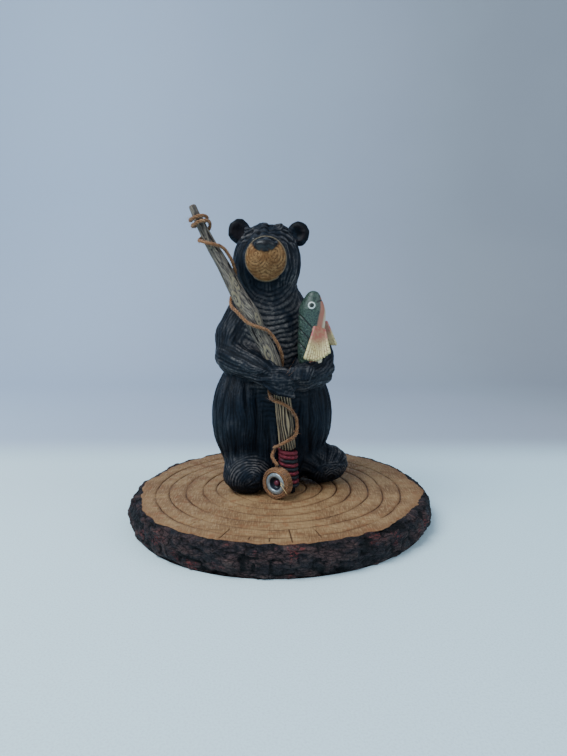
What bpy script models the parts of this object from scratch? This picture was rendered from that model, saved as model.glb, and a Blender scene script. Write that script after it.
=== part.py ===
"""Resin bear statue: a seated black bear holds a twig fishing rod and a trout, on a cast log slice.

Metres, +Z up. The bear looks along -Y, and the origin is at the middle of the plinth's underside.
"""

import math

import bmesh
import bpy
import numpy as np
from mathutils import Euler, Matrix, Vector

# Driving dimensions, in metres
PLINTH_DIAMETER = 0.320
PLINTH_THICKNESS = 0.029
BARK_WIDTH = 0.011
BARK_RELIEF = 0.0026
RING_SPACING = 0.0165
RING_WIDTH = 0.0036
RING_DEPTH = 0.0013
RING_WANDER = 0.0010
BEAR_HEIGHT = 0.284
FUR_PITCH = 0.0130
FUR_DEPTH = 0.0032
ROD_DIAMETER = 0.0188
ROD_FLUTE_DEPTH = 0.0015
GRIP_CORE_DIAMETER = 0.0116
GRIP_LENGTH = 0.051
GRIP_CORD_DIAMETER = 0.0041
GRIP_STEPS = 8
GRIP_START = math.radians(-110)
TWINE_DIAMETER = 0.0036
REEL_DIAMETER = 0.0320
REEL_WIDTH = 0.0100
REEL_FACE_DIAMETER = 0.0225
REEL_WELL_DIAMETER = 0.0130
REEL_HUB_DIAMETER = 0.0056
REEL_FLANGE = 0.0022
REEL_WALL = 0.0012
REEL_AXLE = 0.0045
REEL_TURN = math.radians(35)
FISH_LENGTH = 0.090
GAP = 0.0003
TWINE_CLEARANCE = 0.0010
PITH = (-0.004, -0.008)
BARK_DROP = 0.0010
BARK_UNEVEN = 0.0012
WOOD_EASE = 0.0035

# About how many facets each carved piece is thinned to
BEAR_FACES = 4340
FISH_FACES = 640
PLINTH_FACES = 1500

# The forms of the bear, fish and rod are drawn in these units, and scaled to the sizes above
BEAR_UNITS = 284.0
FISH_UNITS = 90.0
UNIT = BEAR_HEIGHT / BEAR_UNITS
TOP = PLINTH_THICKNESS
BEAR_VOXEL = 2.4
FISH_VOXEL = 1.3

# Ellipsoids: name, centre, radii, turn in degrees about X, Y and Z, blend with what comes before, grain
# Limbs: name, start, end, radius at the start, radius at the end, blend, grain
BEAR_FORMS = [
    ("hips", (-10, 24, 50), (52, 50, 62), (0, 0, 0), 0, "down"),
    ("belly", (-7, 16, 112), (51, 45, 72), (0, 0, 0), 14, "rings"),
    ("chest", (-9, 12, 166), (41, 36, 46), (0, 0, 0), 14, "rings"),
    ("neck", (-11, 12, 178), (-13.5, 9, 228), 33, 28, 12, "rings"),
    ("thigh_left", (-39, 8, 76), (35, 44, 60), (0, 0, -8), 8, "down"),
    ("thigh_right", (22, 18, 76), (34, 42, 54), (0, 0, 10), 8, "down"),
    ("shoulder_left", (-30, 10, 196), (-45, 8, 160), 22, 24, 10, "limb"),
    ("shoulder_right", (5, 14, 194), (28, 12, 160), 18, 23, 10, "limb"),
    ("arm_left", (-45, 6, 162), (-49, -4, 142), 23, 20, 6, "limb"),
    ("arm_right", (29, 12, 162), (37, 2, 140), 22, 20, 6, "limb"),
    ("forearm_left", (-49, -10, 141), (-16, -46, 130), 18, 14, 4, "limb"),
    ("forearm_right", (36, -6, 128), (27, -36, 124), 21, 14, 4, "limb"),
    ("paw_left", (0, -51, 121), (17, 13, 15), (0, 20, 0), 5, "limb"),
    ("paw_right", (21, -46, 124), (13, 13, 14), (0, -20, 0), 5, "limb"),
    ("leg_left", (-38, -2, 34), (-38, -16, 22), 22, 21, 8, "limb"),
    ("leg_right", (28, 10, 32), (42, 10, 22), 20, 19, 6, "limb"),
    ("foot_left", (-36, -20, 18), (25, 23, 20), (0, 0, -14), 5, "back"),
    ("foot_right", (48, 12, 21), (27, 24, 21), (0, 0, 24), 5, "back"),
    ("head", (-14, 4, 243), (34.5, 36, 33), (0, 0, 0), 10, "down"),
    ("cheek_left", (-30, -2, 232), (18, 24, 22), (0, 0, 0), 8, "down"),
    ("cheek_right", (2, -2, 232), (18, 24, 22), (0, 0, 0), 8, "down"),
    ("tuft_left", (-27, -4, 268), (10, 9, 6), (0, 12, 0), 2, "back"),
    ("tuft_middle", (-17, -6, 271), (9, 9, 6), (0, -8, 0), 2, "back"),
    ("tuft_right", (-1, -4, 270), (11, 9, 6.5), (0, 6, 0), 2, "back"),
    ("muzzle", (-14, -10, 238), (-14, -27, 240), 22, 21, 2, "smooth"),
    ("muzzle_tip", (-14, -35, 240), (20.5, 11, 21), (6, 0, 0), 4, "smooth"),
    ("chin", (-14, -33, 222), (12, 8, 5.5), (0, 0, 0), 2, "smooth"),
    ("nose", (-15, -45, 251), (10, 6, 6), (20, 0, 0), 1.5, "smooth"),
    ("nose_point", (-14.5, -46.5, 249), (5.5, 4, 4.4), (0, 0, 0), 2, "smooth"),
    ("ear_left", (-43, 14, 270), (12, 6, 12.5), (0, 0, 16), 3, "smooth"),
    ("ear_right", (18, 18, 268), (12, 6, 12.5), (0, 0, -16), 3, "smooth"),
    ("tail", (-4, 70, 22), (15, 13, 14), (0, 0, 0), 8, "down"),
]

# Hollows scooped out of the forms: name, centre, radii, turn
BEAR_HOLLOWS = [
    ("ear_left", (-44, 7, 270), (8, 4, 8.5), (0, 0, 16)),
    ("ear_right", (19, 11, 268), (8, 4, 8.5), (0, 0, -16)),
]

# Fingers: first finger's root and tip, step to the next one, number, radius at root and tip
FINGERS = [
    ((-2, -60, 128), (10, -57, 124), (0.6, 0.3, -5.5), 4, 4.2, 3.0),
    ((12, -55, 132), (10, -58, 124), (5.5, -0.6, 0.4), 4, 4.2, 3.0),
]

# The trout stands on its tail in the crook of the arm, drawn from this place on the bear
FISH_PLACE = (31, -29, 120)
FISH_FORMS = [
    ("head", (0.5, 0, 62), (13.3, 8, 21), (0, 0, 0), 0, "smooth"),
    ("snout", (0.5, -1, 70), (1.5, -1, 82), 9, 6, 8, "smooth"),
    ("body", (-1, 3, 32), (13, 9, 34), (0, 0, 0), 8, "smooth"),
    ("eye", (-0.5, -6.8, 74), (3.5, 1.6, 3.5), (0, 0, 0), 0.6, "smooth"),
]

# Fins: root and tip of the first ray, root and tip of the last, number, how far the middle ones reach past
FINS = [
    ((3, -8, 52), (-6.5, -18, 23.5), (12, -7, 50), (16, -17, 29), 7, 4.5),
    ((15, 4, 57), (24.5, 9, 35), (12, 5, 49), (16, 8, 38), 4, 1.0),
]

# The rod from tip to grip: place, and radius as a share of half its diameter
ROD_LINE = [
    (-86.0, -26, 290.3, 0.46),
    (-82.0, -27, 281.2, 0.50),
    (-79.7, -27.5, 276.9, 0.56),
    (-75.3, -28.5, 267.8, 0.60),
    (-67.7, -30, 253.3, 0.66),
    (-61.6, -31.5, 242.7, 0.71),
    (-50.7, -34, 223.4, 0.79),
    (-40.9, -36.5, 204.1, 0.88),
    (-29.1, -39, 184.7, 1.00),
    (-20.5, -41, 165.3, 0.86),
    (-12.2, -42, 150.7, 0.88),
    (-3.5, -41, 124.0, 0.92),
    (2.2, -37, 100.1, 0.93),
    (3.7, -35, 84.3, 0.94),
    (5.5, -32, 68.2, 0.96),
    (7.2, -29, 50.5, 0.94),
]
GRIP_FOOT = (9.6, -25)

# The line wound down the rod: height on the rod, and degrees round it, from the front to the right
TWINE_TURNS = [
    (280, -130),
    (278.5, -36),
    (277.3, 24),
    (275.5, 90),
    (274.5, 180),
    (274, 270),
    (273.4, 324),
    (272.4, 390),
    (270.5, 450),
    (265, 540),
    (260.5, 630),
    (258, 672),
    (252.5, 712),
    (247.5, 756),
    (242, 796),
    (234, 818),
    (228, 840),
    (213, 900),
    (200, 985),
    (193, 1022),
    (187, 1034),
    (179, 1052),
    (172, 1088),
    (165, 1135),
    (157, 1158),
    (149, 1170),
    (142, 1185),
    (133, 1215),
    (122, 1260),
    (112, 1335),
    (107, 1366),
    (104, 1396),
    (101, 1432),
    (93, 1476),
    (86, 1500),
    (80, 1525),
    (75, 1530),
    (70, 1516),
    (65, 1492),
    (60.5, 1436),
    (55, 1390),
    (50, 1352),
    (46, 1345),
]


def remove_everything():
    """An empty scene, whatever was open."""
    for item in list(bpy.data.objects):
        bpy.data.objects.remove(item, do_unlink=True)


def collection(name):
    made = bpy.data.collections.new(name)
    bpy.context.scene.collection.children.link(made)
    return made


def material(name, colour, roughness, metallic=0.0):
    made = bpy.data.materials.new(name)
    made.use_nodes = True
    shader = made.node_tree.nodes["Principled BSDF"]
    shader.inputs["Base Color"].default_value = (*colour, 1.0)
    shader.inputs["Roughness"].default_value = roughness
    shader.inputs["Metallic"].default_value = metallic
    return made


def add_object(name, data, home, finish=None):
    made = bpy.data.objects.new(name, data)
    home.objects.link(made)
    if finish:
        made.data.materials.clear()
        made.data.materials.append(finish)
    return made


def evaluated_mesh(item):
    """The object's mesh as its modifiers leave it, on its own."""
    graph = bpy.context.evaluated_depsgraph_get()
    return bpy.data.meshes.new_from_object(item.evaluated_get(graph))


def settle(item):
    """Replaces the object's data with its evaluated mesh, so that it can be sculpted or cut."""
    bpy.context.view_layer.update()
    mesh = evaluated_mesh(item)
    name, home, matrix = item.name, item.users_collection[0], item.matrix_world.copy()
    bpy.data.objects.remove(item, do_unlink=True)
    shape = bmesh.new()
    shape.from_mesh(mesh)
    bmesh.ops.remove_doubles(shape, verts=shape.verts, dist=0.000001)
    bmesh.ops.recalc_face_normals(shape, faces=shape.faces)
    if shape.calc_volume(signed=True) < 0:
        bmesh.ops.reverse_faces(shape, faces=shape.faces)
    shape.to_mesh(mesh)
    shape.free()
    made = add_object(name, mesh, home)
    made.matrix_world = matrix
    return made


def fingers():
    """The curled fingers of both paws, as limbs."""
    for root, tip, step, count, root_radius, tip_radius in FINGERS:
        for i in range(count):
            start = tuple(a + i * b for a, b in zip(root, step))
            end = tuple(a + i * b for a, b in zip(tip, step))
            yield ("finger", start, end, root_radius, tip_radius, 1.5, "smooth")


def fin_rays():
    """The rays of both fins, as thin limbs side by side."""
    for root_a, tip_a, root_b, tip_b, count, bulge in FINS:
        for i in range(count):
            share = i / (count - 1)
            root = tuple(a + share * (b - a) for a, b in zip(root_a, root_b))
            tip = [a + share * (b - a) for a, b in zip(tip_a, tip_b)]
            tip[2] -= bulge * math.sin(math.pi * share)
            yield ("ray", root, tuple(tip), 1.7, 2.0, 1.2, "smooth")


BEAR = BEAR_FORMS + list(fingers())
TROUT = FISH_FORMS + list(fin_rays())


# Distance fields of the rounded forms


def turn_matrix(turn):
    return np.array(Euler([math.radians(a) for a in turn]).to_matrix())


def ellipsoid_distance(points, centre, radii, turn):
    local = (points - np.array(centre)) @ turn_matrix(turn)
    scaled = np.linalg.norm(local / np.array(radii), axis=1)
    slope = np.linalg.norm(local / np.array(radii) ** 2, axis=1)
    return scaled * (scaled - 1) / np.maximum(slope, 1e-9)


def limb_distance(points, start, end, radius_start, radius_end):
    axis = np.array(end, float) - np.array(start, float)
    along = np.clip((points - np.array(start)) @ axis / (axis @ axis), 0, 1)
    nearest = np.array(start) + along[:, None] * axis
    return np.linalg.norm(points - nearest, axis=1) - (radius_start + along * (radius_end - radius_start))


def is_limb(form):
    return np.isscalar(form[3])


def form_distance(points, form):
    if is_limb(form):
        return limb_distance(points, *form[1:5])
    return ellipsoid_distance(points, *form[1:4])


def blend_in(before, added, width):
    """A union whose inner corner is rounded over this width."""
    if width <= 0:
        return np.minimum(before, added)
    share = np.clip(0.5 + 0.5 * (before - added) / width, 0, 1)
    return before + share * (added - before) - width * share * (1 - share)


def blended_distance(points, forms, hollows):
    distance = form_distance(points, forms[0])
    for form in forms[1:]:
        distance = blend_in(distance, form_distance(points, form), form[5] if is_limb(form) else form[4])
    for hollow in hollows:
        distance = -blend_in(-distance, ellipsoid_distance(points, *hollow[1:4]), 1.5)
    return distance


def outward(points, forms, hollows, step=0.5):
    """The distance, the outward direction and the slope at each point."""
    here = blended_distance(points, forms, hollows)
    slope = np.stack(
        [blended_distance(points + step * axis, forms, hollows) - here for axis in np.eye(3)],
        axis=1,
    )
    length = np.maximum(np.linalg.norm(slope, axis=1), 1e-9)
    return here, slope / length[:, None], length / step


def rough_mesh(name, forms, home):
    """The forms as overlapping spheres and hulls, before they are joined."""
    shape = bmesh.new()
    for form in forms:
        if is_limb(form):
            ends = []
            for centre, radius in ((form[1], form[3]), (form[2], form[4])):
                ball = bmesh.ops.create_uvsphere(
                    shape,
                    u_segments=16,
                    v_segments=10,
                    radius=radius,
                    matrix=Matrix.Translation(centre),
                )
                ends += ball["verts"]
            hull = bmesh.ops.convex_hull(shape, input=ends)
            inside = [g for g in hull["geom_interior"] if isinstance(g, bmesh.types.BMVert)]
            bmesh.ops.delete(shape, geom=inside, context="VERTS")
        else:
            turn = Euler([math.radians(a) for a in form[3]]).to_matrix().to_4x4()
            place = Matrix.Translation(form[1]) @ turn @ Matrix.Diagonal((*form[2], 1.0))
            bmesh.ops.create_uvsphere(shape, u_segments=24, v_segments=16, radius=1.0, matrix=place)
    mesh = bpy.data.meshes.new(name)
    shape.to_mesh(mesh)
    shape.free()
    return add_object(name, mesh, home)


def neighbour_means(mesh, points):
    """The mean of each vertex's neighbours."""
    edges = np.zeros(len(mesh.edges) * 2, np.int64)
    mesh.edges.foreach_get("vertices", edges)
    here = np.concatenate([edges[0::2], edges[1::2]])
    there = np.concatenate([edges[1::2], edges[0::2]])
    count = np.maximum(np.bincount(here, minlength=len(points)), 1)
    total = [np.bincount(here, points[there, i], len(points)) for i in range(3)]
    return np.stack(total, axis=1) / count[:, None]


def sculpt(name, forms, hollows, voxel, relief, faces, home):
    """One closed skin over the blended forms, carved by relief and thinned to about this many faces."""
    item = rough_mesh(name, forms, home)
    remesh = item.modifiers.new("skin", "REMESH")
    remesh.mode = "VOXEL"
    remesh.voxel_size = voxel
    item = settle(item)
    mesh = item.data
    points = np.zeros(len(mesh.vertices) * 3)
    mesh.vertices.foreach_get("co", points)
    points = points.reshape(-1, 3)
    for smoothing in (0.5, 0.5, 0.5, 0):
        points = points + smoothing * (neighbour_means(mesh, points) - points)
        distance, normal, slope = outward(points, forms, hollows)
        points = points - normal * (distance / np.maximum(slope, 0.3))[:, None]
    points = points + normal * relief(points)[:, None]
    mesh.vertices.foreach_set("co", points.ravel())
    mesh.update()
    thin = item.modifiers.new("thin", "DECIMATE")
    thin.ratio = faces / max(1, 2 * len(mesh.polygons))
    thin.use_collapse_triangulate = True
    return settle(item)


# Carving


def noise(points, scale, seed):
    """Smooth noise between -1 and 1, with features of about this size."""
    cell = points / scale
    base = np.floor(cell).astype(np.int64)
    ease = cell - base
    ease = ease * ease * (3 - 2 * ease)
    total = np.zeros(len(points))
    for corner in np.ndindex(2, 2, 2):
        place = base + np.array(corner)
        mixed = place @ np.array([73856093, 19349663, 83492791]) + seed * 2654435761
        mixed = (mixed ^ (mixed >> 13)) * 1274126177
        value = ((mixed ^ (mixed >> 16)) & 65535) / 65535.0
        total += value * np.prod(np.where(corner, ease, 1 - ease), axis=1)
    return 2 * total - 1


def grain_phase(points, form, pitch):
    """Counts the locks round each form, or the rings across the front of the chest and belly."""
    if is_limb(form):
        start, axis = np.array(form[1], float), np.array(form[2], float) - np.array(form[1])
        girth = (form[3] + form[4]) / 2
    else:
        flows = {"back": (0.0, 1.0, 0.3), "limb": (1.0, 0.0, 0.0)}
        start, axis = np.array(form[1], float), np.array(flows.get(form[-1], (0.0, 0.0, 1.0)))
        girth = sum(form[2]) / 3
    axis = axis / np.linalg.norm(axis)
    side = np.cross(axis, (0.31, 0.42, 0.85))
    side = side / np.linalg.norm(side)
    across = points - start
    angle = np.arctan2(across @ np.cross(axis, side), across @ side)
    locks = angle / (2 * np.pi) * round(2 * np.pi * girth / pitch)
    if form[-1] != "rings":
        return locks
    sag = 0.011 * (points[:, 0] - form[1][0]) ** 2
    rings = (points[:, 2] - sag) / (0.8 * pitch)
    return np.where(points[:, 1] < form[1][1] + 8, rings, locks)


def fur(points):
    """Depth of the carved locks at each point, in the bear's units."""
    pitch, depth = FUR_PITCH / UNIT, FUR_DEPTH / UNIT
    distances = np.array([form_distance(points, form) for form in BEAR])
    weights = np.exp(-(distances - distances.min(axis=0)) / 3.0)
    weights /= weights.sum(axis=0)
    wander = 0.5 * noise(points, 34, 1) + 0.12 * noise(points, 13, 2)
    carved = np.zeros(len(points))
    for form, weight in zip(BEAR, weights):
        if form[-1] == "smooth":
            continue
        phase = grain_phase(points, form, pitch) + wander
        carved -= weight * depth * (1 - np.abs(np.sin(np.pi * phase)))
    return carved * (0.85 + 0.4 * noise(points, 20, 3))


def scales(points):
    """The trout's gill edge and the scallops behind it."""
    along = (points[:, 2] - 64.5) + (points[:, 0] + 12)
    cut = sum(np.exp(-(((along - at) / 2.4) ** 2)) for at in (0, -14, -28))
    plain = points[:, 0] + 0.4 * points[:, 1] > 4
    return np.where(plain, 0.0, -0.9 * cut)


def keep_largest(mesh):
    """Drops the crumbs that a cut leaves loose."""
    shape = bmesh.new()
    shape.from_mesh(mesh)
    left, islands = set(shape.verts), []
    while left:
        queue, island = [left.pop()], []
        while queue:
            vertex = queue.pop()
            island.append(vertex)
            for edge in vertex.link_edges:
                other = edge.other_vert(vertex)
                if other in left:
                    left.discard(other)
                    queue.append(other)
        islands.append(island)
    islands.sort(key=len)
    for island in islands[:-1]:
        bmesh.ops.delete(shape, geom=island, context="VERTS")
    shape.to_mesh(mesh)
    shape.free()


def cut_away(item, cutters):
    for cutter in cutters:
        cut = item.modifiers.new(cutter.name, "BOOLEAN")
        cut.operation = "DIFFERENCE"
        cut.object = cutter
        cut.solver = "EXACT"
    item = settle(item)
    keep_largest(item.data)
    return item


def as_cutter(item):
    item.hide_render = True
    item.display_type = "WIRE"
    return item


# Lines through points


def smooth_line(points, per_span):
    """A smooth line through the points, with this many steps between each two."""
    points = np.array(points, float)
    padded = np.vstack([2 * points[0] - points[1], points, 2 * points[-1] - points[-2]])
    line = []
    for i in range(len(points) - 1):
        a, b, c, d = padded[i : i + 4]
        for t in np.arange(per_span) / per_span:
            curve = (2 * a - 5 * b + 4 * c - d) * t**2 + (3 * b - a - 3 * c + d) * t**3
            line.append(b + 0.5 * ((c - a) * t + curve))
    return np.array(line + [points[-1]])


def even_line(points, step):
    """The same line with its points this far apart."""
    length = np.concatenate([[0], np.cumsum(np.linalg.norm(np.diff(points, axis=0), axis=1))])
    at = np.linspace(0, length[-1], max(2, round(length[-1] / step) + 1))
    return np.stack([np.interp(at, length, points[:, i]) for i in range(points.shape[1])], axis=1)


def tube(name, line, radius, home, sides_resolution=2, radii=None, section=None):
    """A closed mesh tube along a line of points."""
    curve = bpy.data.curves.new(name, "CURVE")
    curve.dimensions = "3D"
    curve.use_fill_caps = True
    if section:
        curve.bevel_mode = "OBJECT"
        curve.bevel_object = section
    else:
        curve.bevel_depth = radius
        curve.bevel_resolution = sides_resolution
    spline = curve.splines.new("POLY")
    spline.points.add(len(line) - 1)
    for i, place in enumerate(line):
        spline.points[i].co = (*place, 1)
        spline.points[i].radius = 1 if radii is None else radii[i]
    return settle(add_object(name, curve, home))


def fluted_section(home):
    """The rod's outline across: a circle of one metre, gnawed by flutes of the rod's own depth."""
    count = 10
    curve = bpy.data.curves.new("rod_section", "CURVE")
    curve.dimensions = "2D"
    spline = curve.splines.new("POLY")
    spline.points.add(count - 1)
    for i in range(count):
        angle = 2 * math.pi * i / count
        reach = 1.0 if i % 2 else 1.0 - ROD_FLUTE_DEPTH / (ROD_DIAMETER / 2)
        spline.points[i].co = (reach * math.cos(angle), reach * math.sin(angle), 0, 1)
    spline.use_cyclic_u = True
    return as_cutter(add_object("rod_section", curve, home))


# The rod


def world(place):
    """A place drawn in the bear's units, in metres in the world."""
    return np.array([place[0] * UNIT, place[1] * UNIT, place[2] * UNIT + TOP])


def grip_top():
    """The rod's place, where its grip starts."""
    line = rod_line()
    height = TOP + GRIP_LENGTH
    return np.array([np.interp(-height, -line[:, 2], line[:, i]) for i in range(3)])


def grip_foot():
    """The rod's foot, raised so that its leaning end clears the plinth."""
    return np.array([GRIP_FOOT[0] * UNIT, GRIP_FOOT[1] * UNIT, TOP + GAP + GRIP_CORE_DIAMETER / 16])


def rod_line():
    """Centre and radius all down the wooden rod."""
    line = smooth_line(ROD_LINE, 2)
    made = np.array([[*world(point[:3]), point[3] * ROD_DIAMETER / 2] for point in line])
    foot = np.array([*grip_foot(), made[-1, 3]])
    return np.vstack([made, foot])


def rod_frame(height):
    """Centre, right, front and radius of the rod at this height above the plinth's top, in metres."""
    line = rod_line()
    level = TOP + height
    above, centre, below = [
        np.array([np.interp(-at, -line[:, 2], line[:, i]) for i in range(4)])
        for at in (level + ROD_DIAMETER / 5, level, level - ROD_DIAMETER / 5)
    ]
    down = below[:3] - above[:3]
    down = down / np.linalg.norm(down)
    right = np.array([1.0, 0, 0]) - down * down[0]
    right /= np.linalg.norm(right)
    return centre[:3], right, np.cross(down, right), centre[3]


def grip_cord_reach():
    """How far the corners of the wound cords' middle lines are from the grip's axis."""
    clear = GRIP_CORE_DIAMETER / 2 + GAP + GRIP_CORD_DIAMETER / 2
    return clear / math.cos(math.pi / GRIP_STEPS)


def grip_radius():
    """Outer radius of the cords wound round the butt."""
    return grip_cord_reach() + GRIP_CORD_DIAMETER / 2


def make_rod(home, section):
    """The whole rod as one stick: fluted wood, and a thin core inside the grip."""
    line = rod_line()
    top = grip_top()
    wood = line[line[:, 2] > top[2] + GAP]
    body, core = wood[-1, 3], GRIP_CORE_DIAMETER / 2
    below = top - np.array([0, 0, GAP])
    places = [*wood[:, :3], top, below, grip_foot()]
    radii = [*wood[:, 3], body, core, core]
    return tube("rod", places, 1.0, home, radii=radii, section=section)


def grip_cord(name, start, home):
    """One of two cords wound side by side round the butt, from this share of a turn down it."""
    top, foot = grip_top(), grip_foot()
    axis = foot - top
    length = np.linalg.norm(axis)
    axis /= length
    right = np.array([1.0, 0, 0]) - axis * axis[0]
    right /= np.linalg.norm(right)
    front = np.cross(axis, right)
    pitch = 2 * (GRIP_CORD_DIAMETER + GAP)
    room = length - 2 * GRIP_CORD_DIAMETER - pitch / 2
    steps = math.floor(room / pitch * GRIP_STEPS)
    reach = grip_cord_reach()
    line = []
    for i in range(steps + 1):
        angle = GRIP_START + 2 * math.pi * i / GRIP_STEPS
        down = GRIP_CORD_DIAMETER * 0.7 + pitch * (i / GRIP_STEPS + start)
        line.append(top + axis * down + reach * (front * math.cos(angle) + right * math.sin(angle)))
    return tube(name, line, GRIP_CORD_DIAMETER / 2, home, sides_resolution=1)


# The reel


def reel_facing():
    """The direction that the reel's face looks in."""
    return np.array([-math.sin(REEL_TURN), -math.cos(REEL_TURN), 0.0])


def reel_centre():
    """The middle of the winding, which stands on the plinth in front of the grip."""
    height = REEL_DIAMETER / 2 + GAP
    top, foot = grip_top(), grip_foot()
    share = (TOP + height - foot[2]) / (top[2] - foot[2])
    axis = foot + (top - foot) * share
    out = grip_radius() + GAP + REEL_AXLE + REEL_WIDTH / 2
    return np.array([axis[0], axis[1], TOP + height]) + reel_facing() * out


def turned(name, profile, steps, home, closed=False):
    """A profile of (radius, height) turned about Z."""
    mesh = bpy.data.meshes.new(name)
    edges = [(i, i + 1) for i in range(len(profile) - 1)]
    if closed:
        edges.append((len(profile) - 1, 0))
    mesh.from_pydata([(r, 0, z) for r, z in profile], edges, [])
    item = add_object(name, mesh, home)
    screw = item.modifiers.new("turn", "SCREW")
    screw.steps = steps
    screw.render_steps = steps
    screw.use_merge_vertices = True
    screw.merge_threshold = 0.00001
    return item


def face_reel(item):
    turn = Vector(reel_facing()).to_track_quat("Z", "Y")
    item.matrix_world = Matrix.Translation(reel_centre()) @ turn.to_matrix().to_4x4()
    return item


def make_reel(home):
    """A metal spool: a face with a well and a hub in it, a core and an axle."""
    half = REEL_WIDTH / 2
    face = REEL_FACE_DIAMETER / 2
    well = REEL_WELL_DIAMETER / 2
    core = well + REEL_WALL
    hub = REEL_HUB_DIAMETER / 2
    bevel = REEL_WALL * 0.8
    well_floor = half - REEL_WIDTH * 0.55
    profile = [
        (0, half - REEL_WIDTH * 0.22),
        (hub * 0.8, half - REEL_WIDTH * 0.22),
        (hub, half - REEL_WIDTH * 0.30),
        (hub, well_floor),
        (well - bevel, well_floor),
        (well, half - bevel),
        (well + bevel, half),
        (face - bevel, half),
        (face, half - bevel),
        (face, half - REEL_FLANGE),
        (core, half - REEL_FLANGE),
        (core, -half),
        (hub, -half),
        (hub, -half - REEL_AXLE),
        (0, -half - REEL_AXLE),
    ]
    return face_reel(turned("reel", profile, 14, home))


def make_reel_twine(home):
    """The twine wound on the spool, as one ring."""
    half = REEL_WIDTH / 2
    core = REEL_WELL_DIAMETER / 2 + REEL_WALL + GAP
    outer = REEL_DIAMETER / 2
    shoulder = outer - TWINE_DIAMETER * 0.45
    face = REEL_FACE_DIAMETER / 2 + GAP
    step = half - REEL_FLANGE - GAP
    profile = [
        (face, half),
        (shoulder, half),
        (outer, half * 0.4),
        (outer, -half * 0.4),
        (shoulder, -half),
        (core, -half),
        (core, step),
        (face, step),
    ]
    return face_reel(turned("reel_twine", profile, 14, home, closed=True))


# The twine on the rod


def twine_line():
    """From the rod's tip to the top of the reel, hugging the rod and its grip."""
    places = []
    for height, degrees in smooth_line(TWINE_TURNS, 8):
        centre, right, front, radius = rod_frame(height * UNIT)
        grip = np.clip((GRIP_LENGTH + TWINE_DIAMETER - height * UNIT) / TWINE_DIAMETER, 0, 1)
        reach = radius + grip * max(0.0, grip_radius() - radius)
        reach += TWINE_CLEARANCE + TWINE_DIAMETER / 2
        angle = math.radians(degrees)
        places.append(centre + reach * (front * math.cos(angle) + right * math.sin(angle)))
    landing = reel_centre() + np.array([0, 0, REEL_DIAMETER / 2 + GAP + TWINE_DIAMETER / 2])
    leaving = places[-1]
    between = (leaving + landing) / 2 + TWINE_DIAMETER * np.array([-1.1, -0.55, 0.55])
    tail = smooth_line([places[-8], leaving, between, landing], 4)[4:]
    return even_line(np.array(places[:-1] + list(tail)), TWINE_DIAMETER * 2.2)


# The fish


def make_fish(home):
    fish = sculpt("fish", TROUT, [], FISH_VOXEL, scales, FISH_FACES, home)
    place = Matrix.Translation(world(FISH_PLACE)) @ Matrix.Scale(FISH_LENGTH / FISH_UNITS, 4)
    fish.data.transform(place)
    return fish


# The plinth


def rim_reach(angle, radius):
    """Distance from the pith to a circle of this radius about the plinth's middle, a little out of round."""
    toward_x, toward_y = np.cos(angle), np.sin(angle)
    along = -(PITH[0] * toward_x + PITH[1] * toward_y)
    across = PITH[0] ** 2 + PITH[1] ** 2 - along**2
    uneven = 1 + 0.013 * np.cos(2 * angle - 2.1) + 0.006 * np.cos(3 * angle + 0.6)
    return along + np.sqrt((radius * uneven) ** 2 - across)


def make_plinth(home):
    """A log slice: a flat top with a cut for each growth ring, and knobbly bark round its edge."""
    wood = PLINTH_DIAMETER / 2 - BARK_WIDTH
    rings = []
    ring = wood - 1.2 * RING_SPACING
    while ring > RING_SPACING:
        rings.append(ring)
        ring -= RING_SPACING
    profile = [(0, TOP)]
    for ring in reversed(rings):
        profile += [(ring - RING_WIDTH / 2, TOP), (ring, TOP - RING_DEPTH), (ring + RING_WIDTH / 2, TOP)]
    profile += [
        (wood - WOOD_EASE, TOP),
        (wood, TOP - BARK_DROP),
        (wood + BARK_WIDTH * 0.45, TOP - BARK_DROP * 0.2),
        (wood + BARK_WIDTH * 0.85, TOP - PLINTH_THICKNESS * 0.18),
        (wood + BARK_WIDTH, TOP - PLINTH_THICKNESS * 0.45),
        (wood + BARK_WIDTH * 0.95, TOP - PLINTH_THICKNESS * 0.72),
        (wood + BARK_WIDTH * 0.70, PLINTH_THICKNESS * 0.06),
        (wood + BARK_WIDTH * 0.55, 0),
        (0, 0),
    ]
    plinth = settle(turned("plinth", profile, 120, home))
    mesh = plinth.data
    points = np.zeros(len(mesh.vertices) * 3)
    mesh.vertices.foreach_get("co", points)
    points = points.reshape(-1, 3)
    radius = np.hypot(points[:, 0], points[:, 1])
    angle = np.arctan2(points[:, 1], points[:, 0])
    last = rings[0] + RING_WIDTH
    outward_share = np.clip((radius - last) / (wood - last), 0, 1)
    reach = radius + (rim_reach(angle, wood) - wood) * outward_share
    reach += RING_WANDER * noise(points * (1, 1, 0), 0.05, 7) * (radius > RING_SPACING)
    bark = np.clip((radius - wood) / (BARK_WIDTH * 0.4), 0, 1)
    chunks = noise(points * (1, 1, 1.6), 0.014, 5) + 0.5 * noise(points, 0.007, 6)
    reach += bark * BARK_RELIEF * chunks
    points[:, 0] = PITH[0] + reach * np.cos(angle)
    points[:, 1] = PITH[1] + reach * np.sin(angle)
    top_bark = bark * (points[:, 2] > PLINTH_THICKNESS * 0.9)
    points[:, 2] += top_bark * BARK_UNEVEN * (noise(points * (1, 1, 0), 0.011, 8) - 1)
    mesh.vertices.foreach_set("co", points.ravel())
    thin = plinth.modifiers.new("thin", "DECIMATE")
    thin.ratio = PLINTH_FACES / (2 * len(mesh.polygons))
    plinth = settle(plinth)
    for vertex in plinth.data.vertices:
        vertex.co.z = min(vertex.co.z, TOP)
        if vertex.co.z < PLINTH_THICKNESS * 0.03:
            vertex.co.z = 0
    return plinth


# Cutters


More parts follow.
